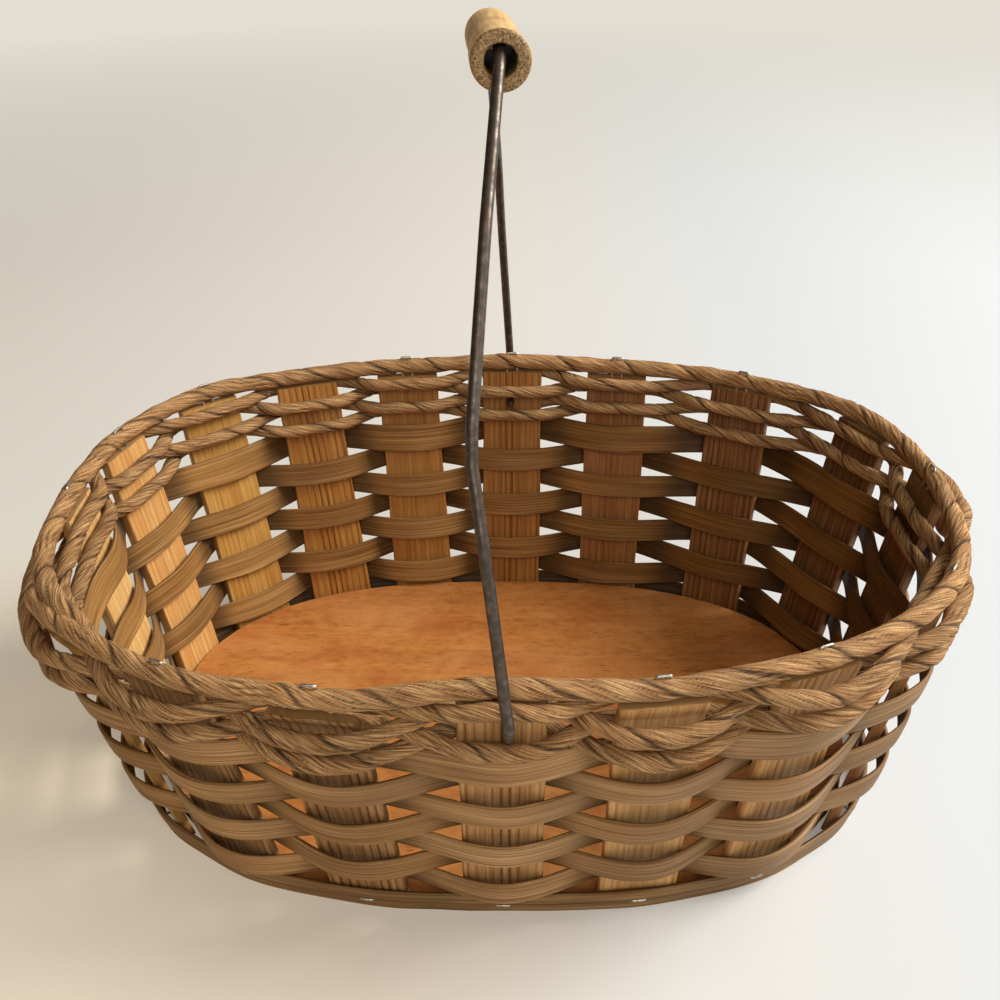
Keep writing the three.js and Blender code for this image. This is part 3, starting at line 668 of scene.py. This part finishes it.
def band_mesh(name, low, high, side, thickness, ground, seed, cup=0.0, seam=0.0):
    """A flat band: a section with eased edges stretched between a lower and an upper edge, each a smooth
    ring through station points. It bellies by cup * (1 - height^2), and its thickness, edges and tone vary
    a little along the way as sums of sines; painted shade darkens the tone towards the right end. Side is 1
    where it passes outside a stake and -1 inside; painted shade eases in over each face from where the band
    begins to leave that face's side, so the face that lies against a stake is shaded. The inner face carries
    painted light and shade: a paler lit tint at the left end and a shaded brown tint at the right end. With
    a seam, the upper half steps out over the lower one."""
    rails = np.concatenate([low, high, side[:, None]], 1)
    curve, way, length = closed_spline(rails, chord_lengths((low + high) / 2), SPLINT_STEPS)
    low, high, side = curve[:, :3], curve[:, 3:6], curve[:, [6]]
    centre, width = (low + high) / 2, high - low
    ahead = unit(np.roll(centre, -1, 0) - np.roll(centre, 1, 0))
    outward = unit(np.cross(ahead, width))
    face = np.stack([np.linspace(-0.95, 0.95, 11), np.ones(11)], -1)
    edge = np.array([[0.985, 0.7], [1.0, 0.0], [0.985, -0.7]])
    section = np.concatenate([face, edge, -face, -edge])
    across, through = section.T
    trim = 1 - 0.014 * (1.8 + ripple(way, length, [9, 23, 41], seed))
    body = thickness / 2 * (1 + 0.12 * ripple(way, length, [5, 13, 29], seed + 1))
    lean = body[:, None] * through + cup * (1 - across**2) + seam * (across > 0.05)
    points = centre[:, None] + width[:, None] / 2 * (across[None, :, None] * trim[:, None, None])
    points = points + outward[:, None] * lean[..., None]
    size = np.linalg.norm(width, axis=1).mean() / 2
    girth = walked(np.concatenate([section, section[:1]]) * [size, thickness / 2])
    uv = np.stack(np.meshgrid(np.append(way, length) + seed * 0.37, girth + seed * 0.11, indexing="ij"), -1)
    colours = painted(ground, points.shape[:2])
    # Painted shade on whichever face lies against a stake.
    behind_stake_shade = np.where(through < 0, 0.6 * eased((side + 0.75) / 1.1), 0.4 * eased((0.45 - side) / 1.1))
    to_right = centre[:, [0]]
    # Painted shade: the tone darkens towards the right end.
    tone = 1 + 0.12 * ripple(way, length, [3, 8, 17], seed + 2)[:, None] - 0.16 * eased(to_right / 0.13)
    colours[..., :3] *= ((1 - behind_stake_shade) * tone)[..., None]
    colours[:, (np.abs(across) < 0.1) & (seam > 0), :3] *= 0.4
    # Painted light and shade on the inner face: a paler lit tint at the left end, a shaded brown tint at the
    # right end.
    painted_light_share = np.clip((0.15 - to_right) / 0.3, 0, 1) ** 1.5
    inner_tint = SHADED_TINT + (PAINTED_LIGHT_TINT - SHADED_TINT) * painted_light_share
    colours[:, through < 0, :3] *= inner_tint[:, None]
    return grid_mesh(name, points, uv, (True, True), False, {"ground": colours})


def splint_row(row):
    """A splint that passes outside and inside the stakes in turn, bowed out most over each stake's crown."""
    height = TOP_SPLINT_WIDTH if row == SPLINT_ROWS else SPLINT_WIDTH
    foot = SPLINT_FOOT + (row - 1) * SPLINT_PITCH
    reach = STAKE_THICKNESS / 2 + ROW_GAP + SPLINT_THICKNESS / 2
    side = blended(FLAT, row_side(row).astype(float))
    out = side * reach + FLAT["crown"] * np.where(side > 0, SPLINT_BOW, -INSIDE_BOW)
    low = station_points(FLAT, out, foot)
    high = station_points(FLAT, out, foot + height)
    tone = SPLINT_TONES[row - 1]
    return band_mesh(f"splint_row_{row}", low, high, side, SPLINT_BODY, tone, 10 * row, SPLINT_CUP)


for row_number in range(1, SPLINT_ROWS + 1):
    band = splint_row(row_number)
    add_piece(band.name, band, "basket", "splint", SPLINT, f"weaver_row_{row_number}")


def hoop_band():
    """The hoop, two strips that lap each other along its middle."""
    out = np.full(len(PLAIN["stake"]), STAKE_THICKNESS / 2 + CLEARANCE + HOOP_THICKNESS / 2)
    low = station_points(PLAIN, out, 0.0)
    high = station_points(PLAIN, out, HOOP_HEIGHT)
    side = np.ones(len(out))
    return band_mesh("foot_hoop", low, high, side, HOOP_THICKNESS * 0.9, HOOP_TONE, 90, seam=HOOP_SEAM)


add_piece("foot_hoop", hoop_band(), "basket", "hoop", SPLINT, "bottom_hoop")


# Ropes

def rope_mesh(name, ring, half_depth, half_height, ridges, crease, seed, tone):
    """A twisted rope: an upright ellipse carried along a curve. Its radius carries ridges that wind round
    it, radius = 1 - crease * gate * (1 - |sin(ridges * lay / 2)|^0.6), where lay is the turn round the rope
    plus the turn that the twist has made by then, and the gate makes some creases shallower. Finer ridges,
    single deep folds and slow swellings come on top. An open rope closes with rounded ends."""
    curve, full, way, length = ring["curve"], ring["full"][:, None], ring["way"], ring["length"]
    is_ring = way[-1] < length - NEAR
    if is_ring:
        ahead = unit(np.roll(curve, -1, 0) - np.roll(curve, 1, 0))
        rounding = np.ones(len(way))
    else:
        ahead = unit(np.gradient(curve, axis=0))
        near_end = np.clip(np.minimum(way, length - way) / half_height, 0, 1)
        rounding = np.sqrt(1 - (1 - near_end) ** 2 * 0.96)
    outward = unit(np.cross(ahead, UP))
    upward = np.cross(outward, ahead)
    turn = np.linspace(0, 2 * np.pi, ROPE_SIDES, endpoint=False)[None, :] - np.pi / 2
    radius = (half_depth + half_height) / 2
    turns = round(length * math.tan(ROPE_LAY) / (2 * math.pi * radius))
    drift = 0.7 * ripple(way, length, [7, 19, 31], seed)[:, None]
    lay = turn + 2 * np.pi * turns * way[:, None] / length + drift
    wave = np.abs(np.sin(ridges * lay / 2)) ** 0.6
    waver = ripple(way, length, [23, 47], seed + 1)[:, None]
    finer = np.abs(np.sin((2 * ridges + 3) * lay / 2 + waver)) ** 0.7
    gate = 0.62 + 0.38 * np.sin(2 * lay + 2 * np.pi * 31 * way[:, None] / length + seed)
    fold = np.clip(np.sin(lay + 2 * np.pi * 17 * way[:, None] / length + seed) - 0.93, 0, 1) / 0.07
    size = 1 - crease * gate * (1 - wave) - 0.3 * crease * (1 - finer) - 0.8 * crease * fold
    size = size * (1 + 0.05 * ripple(way, length, [29, 53, 71], seed + 2)[:, None]) * rounding[:, None]
    across = half_depth * size * np.cos(turn) * full**0.5
    along = half_height * size * np.sin(turn) * full
    points = curve[:, None] + outward[:, None] * across[..., None] + upward[:, None] * along[..., None]
    # Painted shade for the creases and folds, laid on by the rush material.
    hollow_and_shade = np.clip((1 - wave) ** 1.3 * gate + fold * 0.7 + 0.35 * (1 - finer) ** 2, 0, 1)
    arc = np.append(turn[0], turn[0, 0] + 2 * np.pi)[None, :] * radius
    s = (np.append(way, length) if is_ring else way)[:, None]
    along_lay = s * math.cos(ROPE_LAY) - arc * math.sin(ROPE_LAY)
    across_lay = arc * math.cos(ROPE_LAY) + s * math.sin(ROPE_LAY)
    uv = np.stack([along_lay + seed * 0.53, across_lay + seed * 0.19], -1)
    ground = painted(tone, points.shape[:2])
    ground[..., :3] *= (1 + 0.10 * ripple(way, length, [4, 11, 26], seed + 3))[:, None, None]
    return grid_mesh(name, points, uv, (is_ring, True), not is_ring, {"ground": ground, "hollow_and_shade": hollow_and_shade})


def rope_ring(centres, fullness):
    """A smooth ring through the centres, with how much fuller than its usual size the rope is there."""
    both = np.concatenate([centres, fullness[:, None]], 1)
    curve, way, length = closed_spline(both, chord_lengths(centres), ROPE_STEPS)
    return {"curve": curve[:, :3], "full": 1 + np.clip(curve[:, 3], 0, None), "way": way, "length": length}


def rope_row(row):
    """A woven rope: outside a stake it stands off by that stake's slack, sags and is fuller. It sinks under
    the bail's hooks in their row, and is pulled up tight against the rim there in the top row."""
    middle = ROPE_FOOT + (row - SPLINT_ROWS - 1) * ROPE_PITCH + ROPE_HEIGHT / 2
    reach = STAKE_THICKNESS / 2 + ROW_GAP + ROPE_DEPTH / 2
    side = row_side(row)
    at_stake = ROUND["gap"] == 0
    at_pivot = np.isin(ROUND["stake"], [BACK_PIVOT, FRONT_PIVOT]) & at_stake
    slack = np.where(side == OUTSIDE, SLACK * ROPE_DEPTH, 0.0)
    if row == TOP_ROW:
        slack[[BACK_PIVOT, FRONT_PIVOT]] = 0
    part = EDGE_SLACK_SHARE + (1 - EDGE_SLACK_SHARE) * ROUND["crown"]
    out = blended(ROUND, side.astype(float)) * reach + blended(ROUND, slack * side) * part
    dip = ROPE_DIP * (EDGE_DIP_SHARE + (1 - EDGE_DIP_SHARE) * ROUND["crown"])
    z = middle - np.where(at_pivot & (row == PIVOT_ROW), dip, 0)
    z = z + np.where(at_pivot & (row == TOP_ROW), TOP_ROPE_RISE * ROUND["crown"], 0)
    outside_here = (side[ROUND["stake"]] == OUTSIDE) & at_stake
    loose = np.clip(SLACK[ROUND["stake"]], 0.3, 1)
    z = z - np.where(outside_here & ~at_pivot, (1.4 + 3 * loose) * mm * ROUND["crown"], 0)
    fullness = np.where(outside_here, (0.16 + 0.3 * loose) * ROUND["crown"], 0.08)
    ring = rope_ring(station_points(ROUND, out, z), fullness)
    return rope_mesh(f"rush_row_{row}", ring, ROPE_DEPTH / 2, ROPE_HEIGHT / 2, 9, 0.17, 5 * row, ROPE_TONE)


for row_number in range(SPLINT_ROWS + 1, TOP_ROW + 1):
    rope = rope_row(row_number)
    add_piece(rope.name, rope, "basket", "rope", RUSH, f"rope_row_{row_number}")


def rim_rope():
    """The rim rope laid once round and on past its own start, which lies lower and outside; its last part
    rises inwards over the start and its end is tucked down inside."""
    centres = station_points(PLAIN, np.zeros(len(PLAIN["stake"])), RIM_HEIGHT)
    centres[:, 2] = lifted(RIM_FOOT, PLAIN["lift"]) + RIM_ROPE_DIAMETER / 2
    ring = rope_ring(centres, np.zeros(len(centres)))
    total = ring["length"] + RIM_OVERLAP
    way = np.linspace(0, total, ROPE_STEPS)
    places = np.mod(way + RIM_START * ring["length"], ring["length"])
    known = np.append(ring["way"], ring["length"])
    closed = np.concatenate([ring["curve"], ring["curve"][:1]])
    curve = np.stack([np.interp(places, known, closed[:, k]) for k in range(3)], -1)
    ahead = unit(np.gradient(curve, axis=0))
    outward = unit(np.cross(ahead, UP))
    start = 1 - eased(way / (45 * mm))
    end = eased((way - total + 70 * mm) / (40 * mm))
    tuck = eased((way - total + 12 * mm) / (12 * mm))
    curve = curve + outward * (2.6 * mm * start - 3 * mm * end - 1.5 * mm * tuck)[:, None]
    curve[:, 2] += -1.2 * mm * start + 1.6 * mm * end - 4 * mm * tuck
    rope = {"curve": curve, "full": 1 + 0.16 * end, "way": way, "length": total}
    half = RIM_ROPE_DIAMETER / 2
    return rope_mesh("rush_rim", rope, half, half, 10, 0.15, 77, RIM_TONE)


add_piece("rush_rim", rim_rope(), "basket", "rope", RUSH, "rim_rope")


# Floor board: the CAD board stays, with its own wood

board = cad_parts["base_board"]
board.data.materials.clear()
board.data.materials.append(BOARD)


# Staples

def tube_mesh(name, path, radius, sides, beside):
    """A round section carried along an open path that lies about level with one plane; beside is that
    plane's normal, from which every section's two axes are taken."""
    ahead = unit(np.gradient(path, axis=0))
    across = unit(np.cross(ahead, beside))
    upward = np.cross(across, ahead)
    turn = np.linspace(0, 2 * np.pi, sides, endpoint=False)[:, None]
    radius = np.broadcast_to(radius, len(path))[:, None, None]
    points = path[:, None] + radius * (across[:, None] * np.cos(turn) + upward[:, None] * np.sin(turn))
    way = walked(path)
    uv = np.stack(np.meshgrid(way, np.linspace(0, 2 * np.pi, sides + 1) * radius.max(), indexing="ij"), -1)
    return grid_mesh(name, points, uv, (False, True), True)


def staple_path(middle, along, inward, legs):
    """A crown and two legs with rounded corners, from the crown's middle."""
    half, bend = (STAPLE_CROWN - STAPLE_WIRE) / 2, 0.8 * mm
    turn = np.linspace(0, np.pi / 2, 5)
    right = np.stack([half - bend + bend * np.sin(turn), bend - bend * np.cos(turn)], -1)
    right = np.concatenate([right, [[half, legs]]])
    both = np.concatenate([(right * [-1, 1])[::-1], right])
    return middle + both[:, [0]] * along + both[:, [1]] * inward


def rim_staple_path(k):
    """Over the rim rope and down into stake k's top."""
    low = stake_point(k, 0.0, 0.0, 0.0)
    high = stake_point(k, 0.0, 0.0, RIM_HEIGHT)
    inward = -unit(high - low)
    crown_lift = RIM_ROPE_DIAMETER + CLEARANCE + STAPLE_WIRE / 2
    high[2] = stake_point(k, 0.0, 0.0, RIM_FOOT)[2] + crown_lift
    return staple_path(high, np.append(ALONG[k], 0), inward, RIM_ROPE_DIAMETER + 3 * mm)


def hoop_staple_path(k):
    """Through the hoop and stake k's foot."""
    out = STAKE_THICKNESS / 2 + 2 * CLEARANCE + HOOP_THICKNESS + STAPLE_WIRE / 2
    middle = stake_point(k, 0.0, out, HOOP_HEIGHT / 2)
    inward = -np.append(NORMAL[k], 0)
    return staple_path(middle, np.append(ALONG[k], 0), inward, HOOP_THICKNESS + STAKE_THICKNESS)


def staples(kind, path_at):
    """All the staples of one kind as one piece, each where its node is. The plane of a rim staple faces
    outwards and that of a hoop staple upwards."""
    nodes = [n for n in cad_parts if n.startswith(kind)]
    stakes = [NAMES.index(n.replace(kind + "_", "")) for n in nodes]
    meshes = []
    for k in stakes:
        beside = np.append(NORMAL[k], 0) if kind == "rim_staple" else UP
        meshes.append(tube_mesh(kind + str(k), path_at(k), STAPLE_WIRE / 2, 10, beside))
    mesh = merged_mesh(kind + "s", meshes)
    add_piece(kind + "s", mesh, "basket", "staple", STAPLE, *nodes)


staples("rim_staple", rim_staple_path)
staples("hoop_staple", hoop_staple_path)


# Bail and grip

WIRE_RADIUS = WIRE_DIAMETER / 2


def wall_half_width(z):
    """Half the width of the wall's oval at a height."""
    return FOOT_HALF_WIDTH + (RIM_HALF_WIDTH - FOOT_HALF_WIDTH) * z / RIM_HEIGHT


TOP_ROPE = RIM_FOOT - ROPE_PITCH + ROPE_HEIGHT / 2
TOP_ROPE_OUT = STAKE_THICKNESS / 2 + ROW_GAP + ROPE_DEPTH * (1 + SLACK[FRONT_PIVOT])
LEG_OUT = wall_half_width(TOP_ROPE) + TOP_ROPE_OUT + ROW_GAP + WIRE_RADIUS
GRIP_MIDDLE = np.array([PIVOT_SIDE - GRIP_SHIFT, 0, PIVOT_HEIGHT + BAIL_REACH])
GRIP_AXIS = unit(np.array([-GRIP_SKEW, GRIP_LENGTH, -GRIP_DROP]))

# The bail's route: sideways and up as shares of its reach, out as a share of its legs' distance, radius
FRONT_LEG = [
    (-0.036, 0.955, 0.37, 40 * mm), (-0.056, 0.878, 0.5, 9 * mm),
    (-0.056, 0.852, 0.555, 9 * mm), (-0.036, 0.622, 0.815, 40 * mm),
]
BACK_LEG = [(-0.022, 0.942, 0.44, 40 * mm), (-0.03, 0.853, 0.635, 40 * mm), (-0.038, 0.609, 0.828, 40 * mm)]


def leg_corners(to_side, leg):
    """The corners of one leg, each with its bend's radius: the hook's tip, the hook, and up its route."""
    face = wall_half_width(PIVOT_HEIGHT)
    half = STAKE_THICKNESS / 2
    corners = [
        ((PIVOT_SIDE, to_side * (face - half - TIP_LENGTH), PIVOT_HEIGHT), 0),
        ((PIVOT_SIDE, to_side * (face + half + HOOK_RUN), PIVOT_HEIGHT), 5 * mm),
        ((PIVOT_SIDE, to_side * LEG_OUT, TOP_ROPE), 5 * mm),
    ]
    for side, out, up, radius in leg:
        at = (PIVOT_SIDE + side * BAIL_REACH, to_side * out * LEG_OUT, PIVOT_HEIGHT + up * BAIL_REACH)
        corners.append((at, radius))
    return corners


def shoulder(to_side):
    """The bend at one end of the grip, where the wire goes on along the top of the bore."""
    reach = to_side * (GRIP_LENGTH / 2 - GRIP_BORE_DIAMETER / 4)
    at = GRIP_MIDDLE + GRIP_AXIS * reach
    at[2] += GRIP_BORE_DIAMETER / 2 - WIRE_RADIUS - CLEARANCE
    return at, 12 * mm


def bent_path(corners):
    """Straight runs whose corners are rounded by quadratic Bezier bends, as the part's wire is."""
    points = [np.array(corners[0][0])]
    for before, (here, radius), after in zip(corners, corners[1:], corners[2:]):
        here = np.array(here)
        back, ahead = np.array(before[0]) - here, np.array(after[0]) - here
        lengths = np.linalg.norm(back), np.linalg.norm(ahead)
        half = math.acos(np.dot(back, ahead) / (lengths[0] * lengths[1])) / 2
        cut = min(radius / math.tan(half), 0.48 * lengths[0], 0.48 * lengths[1])
        start, end = here + unit(back) * cut, here + unit(ahead) * cut
        t = np.linspace(0, 1, 13)[:, None]
        points.extend((1 - t) ** 2 * start + 2 * t * (1 - t) * here + t**2 * end)
    points.append(np.array(corners[-1][0]))
    return np.array(points)


def even_path(path, step):
    """The same path at even steps."""
    way = walked(path)
    places = np.linspace(0, way[-1], int(way[-1] / step) + 1)
    return np.stack([np.interp(places, way, path[:, k]) for k in range(3)], -1)


def bail_mesh():
    """The wire along its bent path, with slightly worn ends."""
    corners = [*leg_corners(-1, FRONT_LEG), shoulder(-1), shoulder(1), *leg_corners(1, BACK_LEG)[::-1]]
    path = even_path(bent_path(corners), 1.2 * mm)
    radius = np.full(len(path), WIRE_RADIUS)
    radius[[0, -1]] *= 0.55
    radius[[1, -2]] *= 0.9
    return tube_mesh("steel_bail", path, radius, 20, np.array([1.0, 0.0, 0.0]))


add_piece("steel_bail", bail_mesh(), "bail", "wire", WIRE, "bail_wire")


def grip_mesh():
    """The turned grip: an outline of (radius, place) pairs with eased edges and cut rings, each ring a
    groove of exp(-(distance / width)^2), spun about the grip's axis, with its bore. The wood is a little
    out of round."""
    half, bore = GRIP_LENGTH / 2, GRIP_BORE_DIAMETER / 2
    full, waist = GRIP_DIAMETER / 2, GRIP_WAIST_DIAMETER / 2
    ease = 1.6 * mm
    place = np.linspace(-half + ease, half - ease, 241)
    rings = [sign * (at * half - 0.8 * mm) for at in (0.82, 0.64) for sign in (-1, 1)]
    groove = np.max([np.exp(-(((place - ring) / (0.75 * mm)) ** 2)) for ring in rings], axis=0)
    swell = waist + (full - waist) * np.clip(np.abs(place) / (0.55 * half), 0, 1) ** 2
    body = np.stack([swell - 0.7 * mm * groove, place], -1)
    turn = np.linspace(0, np.pi / 2, 7)[1:]
    right = np.stack([full - ease + ease * np.cos(turn), half - ease + ease * np.sin(turn)], -1)
    face = np.linspace(full - ease, bore + 0.5 * mm, 8)[1:]
    right = np.concatenate([right, np.stack([face, np.full(7, half)], -1), [[bore, half - 0.5 * mm]]])
    left = (right * [1, -1])[::-1]
    inside = np.stack([np.full(20, bore), np.linspace(half - 3 * mm, -half + 3 * mm, 20)], -1)
    outline = np.concatenate([left, body, right, inside])
    turn = np.linspace(0, 2 * np.pi, GRIP_SIDES, endpoint=False)
    across = unit(np.cross(GRIP_AXIS, UP))
    upward = np.cross(across, GRIP_AXIS)
    shape = 1 + 0.008 * np.cos(2 * turn + 0.7)[None, :] * (outline[:, [0]] > bore + 1 * mm)
    radial = across * np.cos(turn)[:, None] + upward * np.sin(turn)[:, None]
    points = GRIP_MIDDLE + outline[:, 1][:, None, None] * GRIP_AXIS
    points = points + (outline[:, [0]] * shape)[..., None] * radial[None]
    way = walked(np.concatenate([outline, outline[:1]]))
    arc = np.linspace(0, 2 * np.pi, GRIP_SIDES + 1) * full
    uv = np.stack(np.meshgrid(way, arc, indexing="ij"), -1)
    ends = (np.abs(outline[:, 1]) > half - 0.8 * mm) | (outline[:, 0] < bore + 0.1 * mm)
    end_grain = np.repeat(ends.astype(float)[:, None], GRIP_SIDES, 1)
    return grid_mesh("turned_grip", points, uv, (True, True), False, {"end_grain": end_grain})


add_piece("turned_grip", grip_mesh(), "grip", "grip", GRIP, "grip")


# Camera, light and floor

def add_camera():
    """A 45 mm lens on a 36 mm frame, looking down at the basket's front from half a metre away."""
    eye = Vector((3.9 * mm, -485.4 * mm, 400.3 * mm))
    yaw, pitch, roll = -0.012, 0.5142, -0.0048
    ahead = Vector((math.sin(yaw) * math.cos(pitch), math.cos(yaw) * math.cos(pitch), -math.sin(pitch)))
    level = Vector((math.cos(yaw), -math.sin(yaw), 0))
    up = level.cross(ahead)
    right = level * math.cos(roll) + up * math.sin(roll)
    up = up * math.cos(roll) - level * math.sin(roll)
    data = bpy.data.cameras.new("camera")
    data.sensor_width = 36
    data.lens = 45
    camera = placed("camera", data)
    camera.matrix_world = Matrix.Translation(eye) @ Matrix((right, up, -ahead)).transposed().to_4x4()
    bpy.context.scene.camera = camera


def add_area_light(name, place, size, watts, colour):
    """A square lamp aimed at the basket, which the camera doesn't see."""
    data = bpy.data.lights.new(name, "AREA")
    data.shape = "SQUARE"
    data.size = size
    data.energy = watts
    data.color = linear(colour)[:3]
    light = placed(name, data)
    light.location = place
    light.visible_camera = False
    light.rotation_euler = (Vector((0, 0, 0.06)) - light.location).to_track_quat("-Z", "Y").to_euler()


def add_world():
    """A soft surround, dimmer and warmer on the left; the camera sees it as a pale wall."""
    world = bpy.data.worlds.new("studio")
    world.use_nodes = True
    tree = world.node_tree
    tree.nodes.clear()
    rays = add_node(tree, "LightPath")
    inputs = {0: rays["Is Camera Ray"], 1: rays["Is Transmission Ray"]}
    seen = add_node(tree, "Math", inputs, operation="MAXIMUM")[0]
    side = add_node(tree, "SeparateXYZ", {0: add_node(tree, "TexCoord")["Generated"]})[0]
    light_side = add_node(tree, "MapRange", {"Value": side, "From Min": -0.9, "From Max": 0.9})[0]
    tint = add_node(tree, "ValToRGB", {"Fac": light_side}, [(0.0, "#8c7048"), (1.0, "#fffbf4")])[0]
    fill = add_node(tree, "Background", {"Color": tint, "Strength": 0.3})[0]
    wall = add_node(tree, "Background", {"Color": WALL_COLOUR, "Strength": 1.0})[0]
    shown = add_node(tree, "MixShader", {0: seen, 1: fill, 2: wall})[0]
    add_node(tree, "OutputWorld", {"Surface": shown})
    bpy.context.scene.world = world


def patch(tree, place, middle, full, none):
    """A soft round patch: 1 within the first distance of its middle, 0 past the second."""
    away = add_node(tree, "VectorMath", {0: place, 1: middle}, operation="DISTANCE")["Value"]
    limits = {"Value": away, "From Min": full, "From Max": none, "To Min": 1.0, "To Max": 0.0}
    return add_node(tree, "MapRange", limits, interpolation_type="SMOOTHSTEP")[0]


def pale_table(tree):
    """Painted table top, matt, with painted light in its colour: cooler towards the window, and a warm lift
    in the basket's shadow beside its left end. The camera sees the wall's colour laid thinly over it, more
    at the front left as a painted glow that lifts the shadow there, and fully where it is far away."""
    place = add_node(tree, "TexCoord")["Object"]
    across = add_node(tree, "SeparateXYZ", {0: place})[0]
    side = add_node(tree, "MapRange", {"Value": across, "From Min": -0.5, "From Max": 0.45})[0]
    # Painted cool light towards the window: warm grey on the left, a cooler grey on the right.
    stops = [(0.0, "#cdc8bc"), (0.5, "#dad5cc"), (0.75, "#ced4d9"), (1.0, "#d5dbdf")]
    colour = add_node(tree, "ValToRGB", {"Fac": side}, stops)[0]
    # Painted warm light, lifting the basket's shadow beside its left end.
    warm = patch(tree, place, (-0.2, -0.06, 0.0), 0.05, 0.3)
    colour = stained(tree, colour, (warm, "#f9e6c4", 0, 1, 1))
    table = add_node(tree, "BsdfPrincipled", {"Base Color": colour, "Roughness": 0.8})[0]
    away = add_node(tree, "VectorMath", {0: place}, operation="LENGTH")["Value"]
    limits = {"Value": away, "From Min": 0.8, "From Max": 2.2, "To Min": 0.24}
    far = add_node(tree, "MapRange", limits)[0]
    # A painted glow, seen by the camera only, that lifts the shadow at the front left.
    corner = patch(tree, place, (-0.2, -0.17, 0.0), 0.02, 0.15)
    wall_and_painted_glow = add_node(tree, "Math", {0: corner, 1: 0.18, 2: far}, operation="MULTIPLY_ADD")[0]
    seen = add_node(tree, "LightPath")["Is Camera Ray"]
    fading = add_node(tree, "Math", {0: wall_and_painted_glow, 1: seen}, operation="MULTIPLY")[0]
    glow = stained(tree, WALL_COLOUR, (corner, "#f6ebdc", 0, 1, 1))
    wall = add_node(tree, "Emission", {"Color": glow, "Strength": 1.0})[0]
    return {0: fading, 1: table, 2: wall}


def add_floor():
    """One flat square under the basket, wide enough to reach the wall's colour."""
    mesh = bpy.data.meshes.new("floor")
    size = 4.0
    corners = [(-size, -size, 0), (size, -size, 0), (size, size, 0), (-size, size, 0)]
    mesh.from_pydata(corners, [], [(0, 1, 2, 3)])
    mesh.materials.append(made_material(pale_table, "MixShader"))
    floor = placed("floor", mesh)


add_camera()
add_world()
add_area_light("window", (2.4, 0.45, 2.2), 1.7, 148, "#fffdfa")
add_area_light("front_fill", (0.2, -2.0, 1.5), 1.8, 31, "#fffaf4")
add_floor()
bpy.context.scene.view_settings.view_transform = "Standard"
